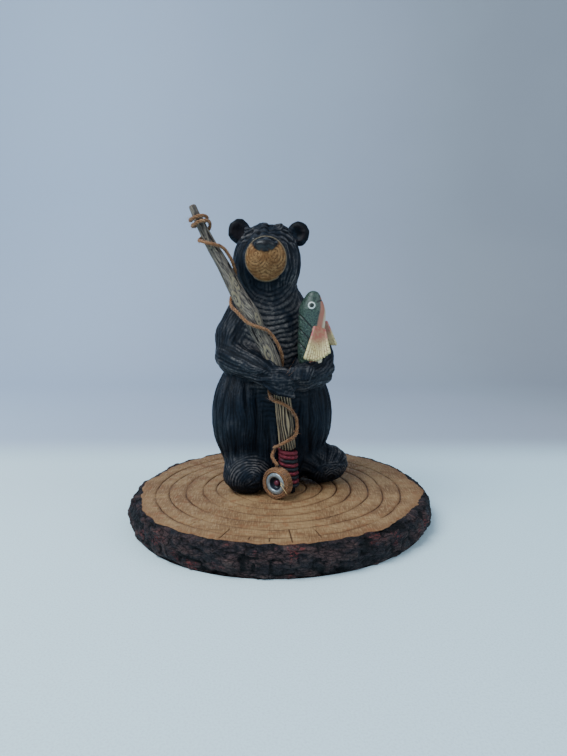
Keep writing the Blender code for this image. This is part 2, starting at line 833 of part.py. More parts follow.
def swollen(item, by, home):
    """A copy of the piece, grown by this much all round, as a cutter."""
    mesh = item.data.copy()
    mesh.transform(item.matrix_world)
    shape = bmesh.new()
    shape.from_mesh(mesh)
    shape.normal_update()
    for vertex in shape.verts:
        vertex.co += vertex.normal * by * min(2.0, vertex.calc_shell_factor())
    shape.to_mesh(mesh)
    shape.free()
    return as_cutter(add_object(item.name + "_cutter", mesh, home))


def rod_cutter(home):
    """The room that the wooden part of the rod takes."""
    line = rod_line()
    wood = line[line[:, 2] > grip_top()[2] + GAP]
    end = grip_top() + np.array([0, 0, -2 * GAP])
    sides = 16
    radii = (np.append(wood[:, 3], wood[-1, 3]) + 1.5 * GAP) / math.cos(math.pi / sides)
    return as_cutter(tube("rod_cutter", [*wood[:, :3], end], 1.0, home, 6, radii=radii))


def grip_cutter(home):
    """The room that the wound butt takes."""
    line = [grip_top() + np.array([0, 0, GAP]), grip_foot() - np.array([0, 0, PLINTH_THICKNESS / 2])]
    sides = 12
    return as_cutter(tube("grip_cutter", line, (grip_radius() + GAP) / math.cos(math.pi / sides), home, 4))


def ground_cutter(home):
    """Everything lower than the plinth's top, with the gap above it."""
    shape = bmesh.new()
    bmesh.ops.create_cube(shape, size=1.0)
    mesh = bpy.data.meshes.new("ground_cutter")
    shape.to_mesh(mesh)
    shape.free()
    mesh.transform(Matrix.Diagonal((2 * BEAR_HEIGHT, 2 * BEAR_HEIGHT, BEAR_HEIGHT, 1)))
    mesh.transform(Matrix.Translation((0, 0, TOP + GAP - BEAR_HEIGHT / 2)))
    return as_cutter(add_object("ground_cutter", mesh, home))


def make_bear(home, cutters):
    bear = sculpt("bear", BEAR, BEAR_HOLLOWS, BEAR_VOXEL, fur, BEAR_FACES, home)
    bear.data.transform(Matrix.Translation((0, 0, TOP)) @ Matrix.Scale(UNIT, 4))
    return cut_away(bear, cutters)


def finish(item, made, angle=40):
    item.data.materials.clear()
    item.data.materials.append(made)
    if angle:
        item.data.shade_smooth()
        item.data.set_sharp_from_angle(angle=math.radians(angle))
    return item


def build():
    remove_everything()
    parts = collection("bear_statue")
    tools = collection("cutters")

    wood = material("cast_wood", (0.42, 0.24, 0.11), 0.7)
    fur_paint = material("black_fur", (0.012, 0.013, 0.016), 0.5)
    fish_paint = material("trout_paint", (0.10, 0.17, 0.11), 0.5)
    driftwood = material("driftwood", (0.20, 0.15, 0.11), 0.75)
    jute = material("jute", (0.42, 0.19, 0.07), 0.9)
    red = material("red_cord", (0.16, 0.02, 0.03), 0.8)
    black = material("black_cord", (0.012, 0.014, 0.018), 0.8)
    steel = material("reel_metal", (0.55, 0.58, 0.60), 0.35, 0.8)

    section = fluted_section(tools)
    finish(make_rod(parts, section), driftwood, 25)
    twine = finish(tube("twine", twine_line(), TWINE_DIAMETER / 2, parts, 2), jute)
    finish(grip_cord("grip_cord_black", 0.0, parts), black)
    finish(grip_cord("grip_cord_red", 0.5, parts), red)
    finish(make_reel(parts), steel)
    reel_twine = settle(make_reel_twine(parts))
    finish(reel_twine, jute)
    fish = finish(make_fish(parts), fish_paint)

    cutters = [
        ground_cutter(tools),
        rod_cutter(tools),
        swollen(twine, GAP, tools),
        swollen(fish, 1.5 * GAP, tools),
        swollen(reel_twine, 1.5 * GAP, tools),
        grip_cutter(tools),
    ]
    finish(make_bear(parts, cutters), fur_paint)
    finish(make_plinth(parts), wood, 25)


build()
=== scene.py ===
import math

import bmesh
import bpy
import numpy as np
from mathutils import Euler, Matrix, Vector


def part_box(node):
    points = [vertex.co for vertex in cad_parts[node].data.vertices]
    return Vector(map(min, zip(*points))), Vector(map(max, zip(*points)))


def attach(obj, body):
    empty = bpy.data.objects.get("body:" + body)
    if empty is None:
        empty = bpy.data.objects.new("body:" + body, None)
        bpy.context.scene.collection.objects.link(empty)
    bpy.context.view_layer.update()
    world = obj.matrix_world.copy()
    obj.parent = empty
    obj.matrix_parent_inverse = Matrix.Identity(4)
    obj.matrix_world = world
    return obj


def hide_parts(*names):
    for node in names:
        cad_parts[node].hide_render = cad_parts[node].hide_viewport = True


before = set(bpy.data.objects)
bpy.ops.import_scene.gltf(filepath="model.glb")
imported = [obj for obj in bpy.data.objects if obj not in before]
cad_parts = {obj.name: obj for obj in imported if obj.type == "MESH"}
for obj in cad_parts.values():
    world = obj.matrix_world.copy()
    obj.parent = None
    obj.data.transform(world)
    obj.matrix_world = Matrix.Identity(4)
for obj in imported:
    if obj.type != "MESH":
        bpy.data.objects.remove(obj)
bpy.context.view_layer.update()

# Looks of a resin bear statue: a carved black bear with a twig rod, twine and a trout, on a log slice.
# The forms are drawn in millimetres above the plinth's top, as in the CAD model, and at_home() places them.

MM = 0.001
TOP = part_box("plinth")[1][2] / MM

# Shared with the CAD model: lengths and places in millimetres, turns in radians, corners in a turn of cord
PLINTH_DIAMETER = 320
BARK_WIDTH = 11
BARK_RELIEF = 2.6
BARK_DROP = 1.0
RING_SPACING = 16.5
RING_WANDER = 1.0
PITH = (-4, -8)
LOCK_PITCH = 13.0
LOCK_DEPTH = 3.2
ROD_DIAMETER = 18.8
GRIP_CORE_DIAMETER = 11.6
GRIP_LENGTH = 51
GRIP_CORD_DIAMETER = 4.1
GRIP_STEPS = 8
GRIP_START = math.radians(-110)
TWINE_DIAMETER = 3.6
TWINE_CLEARANCE = 1.0
REEL_DIAMETER = 32.0
REEL_WIDTH = 10.0
REEL_FACE_DIAMETER = 22.5
REEL_WELL_DIAMETER = 13.0
REEL_HUB_DIAMETER = 5.6
REEL_WALL = 1.2
REEL_TURN = math.radians(35)
GAP = 0.3
GRIP_CORD_REACH = GRIP_CORE_DIAMETER / 2 + GAP + GRIP_CORD_DIAMETER / 2

# Sizes of the finer carving that only shows here, and the width of the painted shade beside each ring groove,
# in millimetres
RIM_RADIUS = 155
RING_CUT_WIDTH = 0.8
RING_CUT_DEPTH = 1.3
RING_SHADE_WIDTH = 2.4
HAIR_PITCH = 3.6
HAIR_DEPTH = 1.1
CURL_PITCH = 3.4
CHEST_PITCH = 4.9
CHEST_DEPTH = 1.4
PLY_TURN = 9.0
FIBRE_RADIUS = 0.12
FRAY_RADIUS = 0.13
STRAW_RADIUS = 0.5
BEAR_VOXEL = 1.28
FISH_VOXEL = 0.72
LEAST_HEIGHT = 0.25

# Camera: its place in millimetres, its tilt, and its lens for a photograph 567 wide and 756 high
CAMERA_PLACE = (3, -597, 201)
CAMERA_TILT = 82
CAMERA_LENS = 27.05

CORD_RED = (142, 48, 62)

# Ellipsoids: name, centre, radii, turn in degrees about X, Y and Z, blend with what comes before, grain
# Limbs: name, start, end, radius at the start, radius at the end, blend, grain
BEAR_FORMS = [
    ("hips", (-10, 24, 50), (52, 50, 62), (0, 0, 0), 0, "down"),
    ("belly", (-7, 16, 112), (51, 45, 72), (0, 0, 0), 14, "rings"),
    ("chest", (-9, 12, 166), (41, 36, 46), (0, 0, 0), 14, "rings"),
    ("neck", (-11, 12, 178), (-13.5, 9, 228), 33, 28, 12, "rings"),
    ("thigh_left", (-39, 8, 76), (35, 44, 60), (0, 0, -8), 8, "down"),
    ("thigh_right", (22, 18, 76), (34, 42, 54), (0, 0, 10), 8, "down"),
    ("shoulder_left", (-30, 10, 196), (-45, 8, 160), 22, 24, 10, "limb"),
    ("shoulder_right", (5, 14, 194), (28, 12, 160), 18, 23, 10, "limb"),
    ("arm_left", (-45, 6, 162), (-49, -4, 142), 23, 20, 6, "limb"),
    ("arm_right", (29, 12, 162), (37, 2, 140), 22, 20, 6, "limb"),
    ("forearm_left", (-49, -10, 141), (-16, -46, 130), 18, 14, 4, "limb"),
    ("forearm_right", (36, -6, 128), (27, -36, 124), 21, 14, 4, "limb"),
    ("paw_left", (0, -51, 121), (17, 13, 15), (0, 20, 0), 5, "limb"),
    ("paw_right", (21, -46, 124), (13, 13, 14), (0, -20, 0), 5, "limb"),
    ("leg_left", (-38, -2, 34), (-38, -16, 22), 22, 21, 8, "limb"),
    ("leg_right", (28, 10, 32), (42, 10, 22), 20, 19, 6, "limb"),
    ("foot_left", (-36, -20, 18), (25, 23, 20), (0, 0, -14), 5, "back"),
    ("foot_right", (48, 12, 21), (27, 24, 21), (0, 0, 24), 5, "back"),
    ("head", (-14, 4, 243), (34.5, 36, 33), (0, 0, 0), 10, "down"),
    ("cheek_left", (-30, -2, 232), (18, 24, 22), (0, 0, 0), 8, "down"),
    ("cheek_right", (2, -2, 232), (18, 24, 22), (0, 0, 0), 8, "down"),
    ("tuft_left", (-27, -4, 268), (10, 9, 6), (0, 12, 0), 2, "back"),
    ("tuft_middle", (-17, -6, 271), (9, 9, 6), (0, -8, 0), 2, "back"),
    ("tuft_right", (-1, -4, 270), (11, 9, 6.5), (0, 6, 0), 2, "back"),
    ("muzzle", (-14, -10, 238), (-14, -27, 240), 22, 21, 2, "smooth"),
    ("muzzle_tip", (-14, -35, 240), (20.5, 11, 21), (6, 0, 0), 4, "smooth"),
    ("chin", (-14, -33, 222), (12, 8, 5.5), (0, 0, 0), 2, "smooth"),
    ("nose", (-15, -45, 251), (10, 6, 6), (20, 0, 0), 1.5, "smooth"),
    ("nose_point", (-14.5, -46.5, 249), (5.5, 4, 4.4), (0, 0, 0), 2, "smooth"),
    ("ear_left", (-43, 14, 270), (12, 6, 12.5), (0, 0, 16), 3, "smooth"),
    ("ear_right", (18, 18, 268), (12, 6, 12.5), (0, 0, -16), 3, "smooth"),
    ("tail", (-4, 70, 22), (15, 13, 14), (0, 0, 0), 8, "down"),
]

# Eyes on top of the muzzle's root, hidden in front because the head is tilted back
EYES = [
    ("eye", (-26, -23.5, 258), (2.8, 2.8, 2.8), (0, 0, 0), 0.6, "smooth"),
    ("eye", (-2, -23.5, 258), (2.8, 2.8, 2.8), (0, 0, 0), 0.6, "smooth"),
]

# Hollows scooped out of the forms: name, centre, radii, turn
BEAR_HOLLOWS = [
    ("ear_left", (-44, 7, 270), (8, 4, 8.5), (0, 0, 16)),
    ("ear_right", (19, 11, 268), (8, 4, 8.5), (0, 0, -16)),
]

# Fingers: first finger's root and tip, step to the next one, number, radius at root and tip
FINGERS = [
    ((-2, -60, 128), (10, -57, 124), (0.6, 0.3, -5.5), 4, 4.2, 3.0),
    ((12, -55, 132), (10, -58, 124), (5.5, -0.6, 0.4), 4, 4.2, 3.0),
]

# How strongly the dry brush has caught each form's ridges
BRUSHED = {
    "forearm_left": 0.9, "forearm_right": 0.6, "paw_left": 0.6, "paw_right": 0.6,
    "finger": 0.7, "foot_left": 0.85, "foot_right": 0.95, "leg_left": 0.6,
    "arm_left": 0.42, "shoulder_left": 0.45, "shoulder_right": 0.5, "thigh_left": 0.16,
    "thigh_right": 0.1, "arm_right": 0.45, "belly": 0.8, "chest": 1.25,
    "neck": 0.45, "head": 0.8, "cheek_right": 0.9, "tuft_left": 0.75,
    "tuft_middle": 0.8, "tuft_right": 0.8,
}

# Curls of carved hair round a point: centre, reach and pitch
CURLS = [
    ((-29, -42, 14), 32, 2.8),
    ((-13, -40, 11), 8, 2.5),
    ((56, -14, 6), 26, 2.8),
    ((47, -10, 21), 6.5, 2.3),
    ((68, -3, 17), 7, 2.3),
    ((-23, -12, 273), 7, 2.4),
    ((-3, -12, 273), 8, 2.4),
]

MUZZLE_CENTRE = (-14, 238.5)
MUZZLE_REACH = (20.5, 22)
MUZZLE_CURLS = ((-23.5, 243), (-5.5, 243))
NOSTRILS = ((-19.3, -50.5, 248.5), (-10.7, -50.5, 248.5))

# The trout
FISH_PLACE = (31, -29, 120)
FISH_FORMS = [
    ("head", (0.5, 0, 62), (13.3, 8, 21), (0, 0, 0), 0, "smooth"),
    ("snout", (0.5, -1, 70), (1.5, -1, 82), 9, 6, 8, "smooth"),
    ("body", (-1, 3, 32), (13, 9, 34), (0, 0, 0), 8, "smooth"),
]
FISH_EYE = (-0.5, -7, 74)
FISH_EYE_RADIUS = 3.7
GILLS = (0, -14, -28)

# Fins: root and tip of the first ray and of the last, number of rays, and how far the middle ones reach down
FINS = [
    ((3, -8, 52), (-6.5, -18, 23.5), (12, -7, 50), (16, -17, 29), 10, 4.0),
    ((15, 4, 57), (24.5, 9, 35), (12, 5, 49), (16, 8, 38), 6, 1.0),
]

# The rod from tip to grip: place, and radius as a share of half its diameter
ROD_LINE = [
    (-86.0, -26, 290.3, 0.46), (-82.0, -27, 281.2, 0.50), (-79.7, -27.5, 276.9, 0.56),
    (-75.3, -28.5, 267.8, 0.60), (-67.7, -30, 253.3, 0.66), (-61.6, -31.5, 242.7, 0.71),
    (-50.7, -34, 223.4, 0.79), (-40.9, -36.5, 204.1, 0.88), (-29.1, -39, 184.7, 1.00),
    (-20.5, -41, 165.3, 0.86), (-12.2, -42, 150.7, 0.88), (-3.5, -41, 124.0, 0.92),
    (2.2, -37, 100.1, 0.93), (3.7, -35, 84.3, 0.94), (5.5, -32, 68.2, 0.96),
    (7.2, -29, 50.5, 0.94),
]
GRIP_FOOT = (9.6, -25)

# Knots in the rod: millimetres from the tip, degrees round it from the front to the right, size
KNOTS = [
    (42, -20, 2.6), (88, 22, 3.6), (101, -30, 4.2), (128, 35, 3.4),
    (163, -5, 5.2), (30, 150, 3.0), (128, 170, 4.0),
]

# The line wound down the rod: height on the rod, and degrees round it, from the front to the right
TWINE_TURNS = [
    (280, -130), (278.5, -36), (277.3, 24), (275.5, 90), (274.5, 180), (274, 270),
    (273.4, 324), (272.4, 390), (270.5, 450), (265, 540), (260.5, 630), (258, 672),
    (252.5, 712), (247.5, 756), (242, 796), (234, 818), (228, 840), (213, 900),
    (200, 985), (193, 1022), (187, 1034), (179, 1052), (172, 1088), (165, 1135),
    (157, 1158), (149, 1170), (142, 1185), (133, 1215), (122, 1260), (112, 1335),
    (107, 1366), (104, 1396), (101, 1432), (93, 1476), (86, 1500), (80, 1525),
    (75, 1530), (70, 1516), (65, 1492), (60.5, 1436), (55, 1390), (50, 1352),
    (46, 1345),
]

# Loose ends of the twine: where they start, where they point, number and length
FRAYS = [
    ((-7.5, -50, 103), (-0.9, -0.3, 0.6), 30, 5),
    ((13, -42, 69), (0.7, -0.5, 0.2), 12, 5),
    ((3, -57, 126), (0.8, -0.3, 0.6), 10, 12),
    ((-84, -36, 277), (-0.7, -0.4, -0.5), 10, 6),
    ((4, -53, 28), (0.2, -0.6, 0.7), 14, 5),
]

# Drying cracks in the plinth's top: degrees round the pith, from and to what radius, and width
CRACKS = [
    (-127.0, 105, 127, 0.35), (-109.9, 117, 146, 0.6), (-92.0, 129, 143, 0.45),
    (-84.0, 111, 146, 0.6), (-73.0, 118, 136, 0.6), (-99.5, 127, 140, 0.35),
    (-167.4, 110, 137, 0.4), (-151.5, 121, 139, 0.35), (-15.8, 118, 136, 0.35),
    (-51.0, 120, 138, 0.3), (38.0, 112, 140, 0.5), (74.0, 104, 138, 0.5),
    (131.0, 116, 142, 0.5),
]


def at_home(points):
    """Millimetres above the plinth's top, in metres in the world."""
    return (np.asarray(points, float) + (0, 0, TOP)) * MM


# Distance fields of the rounded forms, as in the CAD model


def turn_matrix(turn):
    return np.array(Euler([math.radians(a) for a in turn]).to_matrix())


def ellipsoid_distance(points, centre, radii, turn):
    local = (points - np.array(centre)) @ turn_matrix(turn)
    scaled = np.linalg.norm(local / np.array(radii), axis=1)
    slope = np.linalg.norm(local / np.array(radii) ** 2, axis=1)
    return scaled * (scaled - 1) / np.maximum(slope, 1e-9)


def limb_share(points, start, end):
    axis = np.array(end, float) - np.array(start, float)
    return np.clip((points - np.array(start)) @ axis / (axis @ axis), 0, 1)


def limb_distance(points, start, end, radius_start, radius_end):
    share = limb_share(points, start, end)
    nearest = np.array(start) + share[:, None] * (np.array(end, float) - np.array(start, float))
    return np.linalg.norm(points - nearest, axis=1) - (radius_start + share * (radius_end - radius_start))


def is_limb(form):
    return np.isscalar(form[3])


def form_distance(points, form):
    if is_limb(form):
        return limb_distance(points, *form[1:5])
    return ellipsoid_distance(points, *form[1:4])


def blend_in(before, added, width):
    """A union whose inner corner is rounded over this width."""
    if width <= 0:
        return np.minimum(before, added)
    share = np.clip(0.5 + 0.5 * (before - added) / width, 0, 1)
    return before + share * (added - before) - width * share * (1 - share)


def blended_distance(points, forms, hollows):
    distance = form_distance(points, forms[0])
    for form in forms[1:]:
        distance = blend_in(distance, form_distance(points, form), form[5] if is_limb(form) else form[4])
    for hollow in hollows:
        distance = -blend_in(-distance, ellipsoid_distance(points, *hollow[1:4]), 1.5)
    return distance


def outward(points, forms, hollows, step=0.4):
    """The distance, the outward direction and the slope at each point."""
    here = blended_distance(points, forms, hollows)
    slope = np.stack(
        [blended_distance(points + step * axis, forms, hollows) - here for axis in np.eye(3)],
        axis=1,
    )
    length = np.maximum(np.linalg.norm(slope, axis=1), 1e-9)
    return here, slope / length[:, None], length / step


def fingers():
    """The curled fingers of both paws, as limbs."""
    for root, tip, step, count, root_radius, tip_radius in FINGERS:
        for i in range(count):
            start = tuple(a + i * b for a, b in zip(root, step))
            end = tuple(a + i * b for a, b in zip(tip, step))
            yield ("finger", start, end, root_radius, tip_radius, 1.5, "limb")


def fin_rays():
    """The rays of both fins, as thin limbs side by side."""
    for root_a, tip_a, root_b, tip_b, count, bulge in FINS:
        for i in range(count):
            share = i / (count - 1)
            root = tuple(a + share * (b - a) for a, b in zip(root_a, root_b))
            tip = [a + share * (b - a) for a, b in zip(tip_a, tip_b)]
            tip[2] -= bulge * math.sin(math.pi * share)
            yield ("ray", root, tuple(tip), 1.7, 2.0, 1.2, "smooth")


def rough_mesh(forms):
    """The forms as overlapping spheres and hulls, before they are joined."""
    shape = bmesh.new()
    for form in forms:
        if is_limb(form):
            ends = []
            for centre, radius in ((form[1], form[3]), (form[2], form[4])):
                ball = bmesh.ops.create_uvsphere(
                    shape, u_segments=24, v_segments=16, radius=radius, matrix=Matrix.Translation(centre)
                )
                ends += ball["verts"]
            hull = bmesh.ops.convex_hull(shape, input=ends)
            inside = [g for g in hull["geom_interior"] if isinstance(g, bmesh.types.BMVert)]
            bmesh.ops.delete(shape, geom=inside, context="VERTS")
        else:
            turn = Euler([math.radians(a) for a in form[3]]).to_matrix().to_4x4()
            place = Matrix.Translation(form[1]) @ turn @ Matrix.Diagonal((*form[2], 1.0))
            bmesh.ops.create_uvsphere(shape, u_segments=48, v_segments=32, radius=1.0, matrix=place)
    mesh = bpy.data.meshes.new("rough")
    shape.to_mesh(mesh)
    shape.free()
    return mesh


def voxel_skin(mesh, voxel):
    """One closed skin over an overlapping mesh."""
    item = bpy.data.objects.new("rough", mesh)
    bpy.context.scene.collection.objects.link(item)
    remesh = item.modifiers.new("skin", "REMESH")
    remesh.mode = "VOXEL"
    remesh.voxel_size = voxel
    bpy.context.view_layer.update()
    skin = bpy.data.meshes.new_from_object(item.evaluated_get(bpy.context.evaluated_depsgraph_get()))
    bpy.data.objects.remove(item, do_unlink=True)
    return skin


def neighbour_means(mesh, points):
    """The mean of each vertex's neighbours."""
    edges = np.zeros(len(mesh.edges) * 2, np.int64)
    mesh.edges.foreach_get("vertices", edges)
    here = np.concatenate([edges[0::2], edges[1::2]])
    there = np.concatenate([edges[1::2], edges[0::2]])
    count = np.maximum(np.bincount(here, minlength=len(points)), 1)
    total = [np.bincount(here, points[there, i], len(points)) for i in range(3)]
    return np.stack(total, axis=1) / count[:, None]


def sculpt(name, forms, hollows, voxel, carve, place):
    """One skin over the blended forms, carved by carve, then put in its place on top of the plinth."""
    mesh = voxel_skin(rough_mesh(forms), voxel)
    points = np.zeros(len(mesh.vertices) * 3)
    mesh.vertices.foreach_get("co", points)
    points = points.reshape(-1, 3)
    for smoothing in (0.5, 0.5, 0.25, 0):
        points = points + smoothing * (neighbour_means(mesh, points) - points)
        distance, normal, slope = outward(points, forms, hollows)
        points = points - normal * (distance / np.maximum(slope, 0.3))[:, None]
    depth, values = carve(points)
    points = (points + normal * depth[:, None]).astype(np.float32) + place
    points[:, 2] = np.maximum(points[:, 2], LEAST_HEIGHT)
    mesh.name = name
    mesh.vertices.foreach_set("co", at_home(points).ravel())
    for key, value in values.items():
        store(mesh, key, value)
    mesh.shade_smooth()
    mesh.update()
    return mesh


def store(mesh, key, values):
    """Keeps a value at each vertex for the shader."""
    mesh.attributes.new(key, "FLOAT", "POINT").data.foreach_set("value", np.ravel(values).astype(np.float32))


# Noise and curves


def noise(points, scale, seed):
    """Smooth noise between -1 and 1, with features of about this size."""
    cell = points / scale
    base = np.floor(cell).astype(np.int64)
    ease = cell - base
    ease = ease * ease * (3 - 2 * ease)
    total = np.zeros(len(points))
    for corner in np.ndindex(2, 2, 2):
        place = base + np.array(corner)
        mixed = place @ np.array([73856093, 19349663, 83492791]) + seed * 2654435761
        mixed = (mixed ^ (mixed >> 13)) * 1274126177
        value = ((mixed ^ (mixed >> 16)) & 65535) / 65535.0
        total += value * np.prod(np.where(corner, ease, 1 - ease), axis=1)
    return 2 * total - 1


def noise_at(seed, *coordinates):
    """The same noise over two or three coordinates given apart, with features of size 1."""
    shape = np.broadcast(*coordinates).shape
    columns = [np.broadcast_to(c, shape).ravel() for c in coordinates]
    while len(columns) < 3:
        columns.append(np.zeros(columns[0].shape))
    return noise(np.stack(columns, axis=1), 1.0, seed).reshape(shape)


def ease_between(low, high, value):
    share = np.clip((value - low) / (high - low), 0, 1)
    return share * share * (3 - 2 * share)


def ridge(phase, sharpness):
    """1 on each whole number, with a narrow groove half way between."""
    return np.abs(np.cos(np.pi * phase)) ** sharpness


def bell(distance, width):
    """1 where the distance is 0, and next to nothing beyond twice the width."""
    return np.exp(-((distance / width) ** 2))


def smooth_line(points, per_span):
    """A smooth line through the points, with this many steps between each two."""
    points = np.array(points, float)
    padded = np.vstack([2 * points[0] - points[1], points, 2 * points[-1] - points[-2]])
    line = []
    for i in range(len(points) - 1):
        a, b, c, d = padded[i : i + 4]
        for t in np.arange(per_span) / per_span:
            curve = (2 * a - 5 * b + 4 * c - d) * t**2 + (3 * b - a - 3 * c + d) * t**3
            line.append(0.5 * (2 * b + (c - a) * t + curve))
    return np.array(line + [points[-1]])


def lengths_along(line):
    return np.concatenate([[0], np.cumsum(np.linalg.norm(np.diff(line[:, :3], axis=0), axis=1))])


def even_line(points, step):
    """The same line with its points this far apart."""
    length = lengths_along(points)
    at = np.linspace(0, length[-1], max(2, round(length[-1] / step) + 1))
    return np.stack([np.interp(at, length, points[:, i]) for i in range(points.shape[1])], axis=1)


def frames(line):
    """Directions along and across a line at each of its points, turning as little as possible."""
    ahead = np.gradient(line, axis=0)
    ahead /= np.linalg.norm(ahead, axis=1)[:, None]
    side = np.cross(ahead[0], (0.2, 0.9, 0.4))
    across = [side / np.linalg.norm(side)]
    for direction in ahead[1:]:
        side = across[-1] - direction * (across[-1] @ direction)
        across.append(side / np.linalg.norm(side))
    across = np.array(across)
    return ahead, across, np.cross(ahead, across)


def round_about(line, sides):
    """Directions from a line to points round it, one row for each point of the line."""
    _, across, up = frames(line)
    angle = 2 * np.pi * np.arange(sides) / sides
    return across[:, None] * np.cos(angle)[:, None] + up[:, None] * np.sin(angle)[:, None]


def tube(line, radius, sides):
    """A grid of points round a line. The radius is one number, or one for each point and side."""
    radius = np.broadcast_to(np.asarray(radius, float), (len(line), sides))
    return line[:, None] + round_about(line, sides) * radius[..., None]


def skin(name, grids, values=None, ring=False):
    """One mesh over tubes of points, in rows along and columns round them, capped or closed in a ring."""
    vertices, faces, start = [], [], 0
    for grid in grids:
        rows, columns = grid.shape[:2]
        index = start + np.arange(rows * columns).reshape(rows, columns)
        near = np.vstack([index, index[:1]]) if ring else index
        after = np.roll(near, -1, axis=1)
        faces += np.stack([near[:-1], after[:-1], after[1:], near[1:]], axis=-1).reshape(-1, 4).tolist()
        if not ring:
            faces += [index[0][::-1].tolist(), index[-1].tolist()]
        vertices.append(grid.reshape(-1, 3))
        start += rows * columns
    mesh = bpy.data.meshes.new(name)
    mesh.from_pydata(at_home(np.vstack(vertices)).tolist(), [], faces)
    for key, arrays in (values or {}).items():
        store(mesh, key, np.concatenate([np.ravel(array) for array in arrays]))
    shape = bmesh.new()
    shape.from_mesh(mesh)
    bmesh.ops.recalc_face_normals(shape, faces=shape.faces)
    shape.to_mesh(mesh)
    shape.free()
    mesh.shade_smooth()
    return mesh


def add_piece(mesh, material, slot, *replaced):
    """Links a piece that rides on the statue, named as its mesh is, and hides the CAD parts that it stands
    for.
    """
    mesh.materials.clear()
    mesh.materials.append(material)
    piece = bpy.data.objects.new(mesh.name, mesh)
    bpy.context.scene.collection.objects.link(piece)
    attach(piece, "root")
    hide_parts(*replaced)


# Shader helpers


class Value:
    """What a node gives in a material: a number or a colour, which signs and methods work on."""

    def __init__(self, tree, socket):
        self.tree, self.socket = tree, socket

    def maths(self, operation, other):
        return node(self.tree, "Math", 0, {0: self, 1: other}, operation=operation)

    def __add__(self, other):
        return self.maths("ADD", other)

    def __sub__(self, other):
        return self.maths("SUBTRACT", other)

    def __mul__(self, other):
        return self.maths("MULTIPLY", other)

    def span(self, low, high, bottom=0.0, top=1.0):
        """Turns a value between low and high into one between bottom and top, smoothly."""
        inputs = {"Value": self, "From Min": low, "From Max": high, "To Min": bottom, "To Max": top}
        return node(self.tree, "MapRange", "Result", inputs, interpolation_type="SMOOTHSTEP")

    def between(self, first, second):
        """The first colour where this value is 0, and the second where it is 1."""
        return node(self.tree, "Mix", 2, {0: self, 6: paint(first), 7: paint(second)}, data_type="RGBA")


def paint(colour):
    """A colour given as it looks on screen, from 0 to 255, as a shader takes it."""
    if isinstance(colour, Value):
        return colour
    return tuple((c / 255 / 12.92) if c < 10 else ((c / 255 + 0.055) / 1.055) ** 2.4 for c in colour) + (1,)


def layered(colour, *layers):
    """Paints each layer's colour over what is there, where its share is above 0."""
    for share, over in layers:
        colour = share.between(colour, over)
    return colour


def put(tree, socket, value):
    if isinstance(value, Value):
        tree.links.new(value.socket, socket)
    else:
        socket.default_value = value


def node(tree, kind, output, inputs=None, **settings):
    """Adds a node to a material, and gives one of its outputs."""
    made = tree.nodes.new("ShaderNode" + kind)
    for key, value in settings.items():
        setattr(made, key, value)
    for key, value in (inputs or {}).items():
        put(tree, made.inputs[key], value)
    return Value(tree, made.outputs[output])


def kept(tree, *keys):
    """Values kept at the vertices by store."""
    values = [node(tree, "Attribute", "Fac", attribute_name=key) for key in keys]
    return values if len(keys) > 1 else values[0]


def placed(tree, size, stretch, shift=0.0, where=None):
    """Places on the object, scaled so that this many millimetres become 1."""
    scale = tuple(1 / (size * MM * s) for s in stretch)
    where = where or node(tree, "TexCoord", "Object")
    return node(tree, "Mapping", 0, {"Vector": where, "Scale": scale, "Location": (shift, shift, shift)})


def mottle(tree, size, detail=3.0, stretch=(1, 1, 1), shift=0.0):
    """Cloudy noise over the object, with features of this many millimetres."""
    where = placed(tree, size, stretch, shift)
    return node(tree, "TexNoise", "Fac", {"Vector": where, "Scale": 1.0, "Detail": detail})


def streaks(tree, across_size, along_size, detail=3.0, across="around"):
    """Noise drawn out along a piece, from its kept coordinates."""
    across, along = kept(tree, across, "along")
    where = {"X": across * (1 / across_size), "Y": along * (1 / along_size)}
    inputs = {"Vector": node(tree, "CombineXYZ", 0, where), "Scale": 1.0, "Detail": detail}
    return node(tree, "TexNoise", "Fac", inputs)


def crackle(tree, size, stretch):
    """0 on the edges of cells of about this many millimetres, rising to their middles."""
    where = node(tree, "TexCoord", "Object")
    noise_colour = node(tree, "TexNoise", "Color", {"Vector": where, "Scale": 160.0})
    shaken = node(tree, "Mix", 2, {0: 0.0025, 6: where, 7: noise_colour}, data_type="RGBA")
    inputs = {"Vector": placed(tree, size, stretch, where=shaken), "Scale": 1.0}
    return node(tree, "TexVoronoi", "Distance", inputs, feature="DISTANCE_TO_EDGE")


def bumped(tree, height, millimetres, under=None):
    inputs = {"Height": height, "Distance": millimetres * MM, "Strength": 1.0}
    if under:
        inputs["Normal"] = under
    return node(tree, "Bump", "Normal", inputs)


def material(name, build):
    """A material whose build function returns the Principled shader's inputs."""
    made = bpy.data.materials.new(name)
    made.use_nodes = True
    tree = made.node_tree
    shader = tree.nodes["Principled BSDF"]
    for key, value in build(tree).items():
        put(tree, shader.inputs[key], value)
    return made


# The bear


def strand_coordinates(points, form, pitch):
    """How many strands round the form, and how many millimetres along them."""
    if is_limb(form):
        start, axis = np.array(form[1], float), np.array(form[2], float) - np.array(form[1])
        girth = (form[3] + form[4]) / 2
    else:
        flows = {"back": (0.0, 1.0, 0.3), "limb": (1.0, 0.0, 0.0)}
        start, axis = np.array(form[1], float), np.array(flows.get(form[-1], (0.0, 0.0, 1.0)))
        girth = sum(form[2]) / 3
    axis = axis / np.linalg.norm(axis)
    side = np.cross(axis, (0.31, 0.42, 0.85))
    side = side / np.linalg.norm(side)
    across = points - start
    angle = np.arctan2(across @ np.cross(axis, side), across @ side)
    return angle / (2 * np.pi) * round(2 * np.pi * girth / pitch), across @ axis


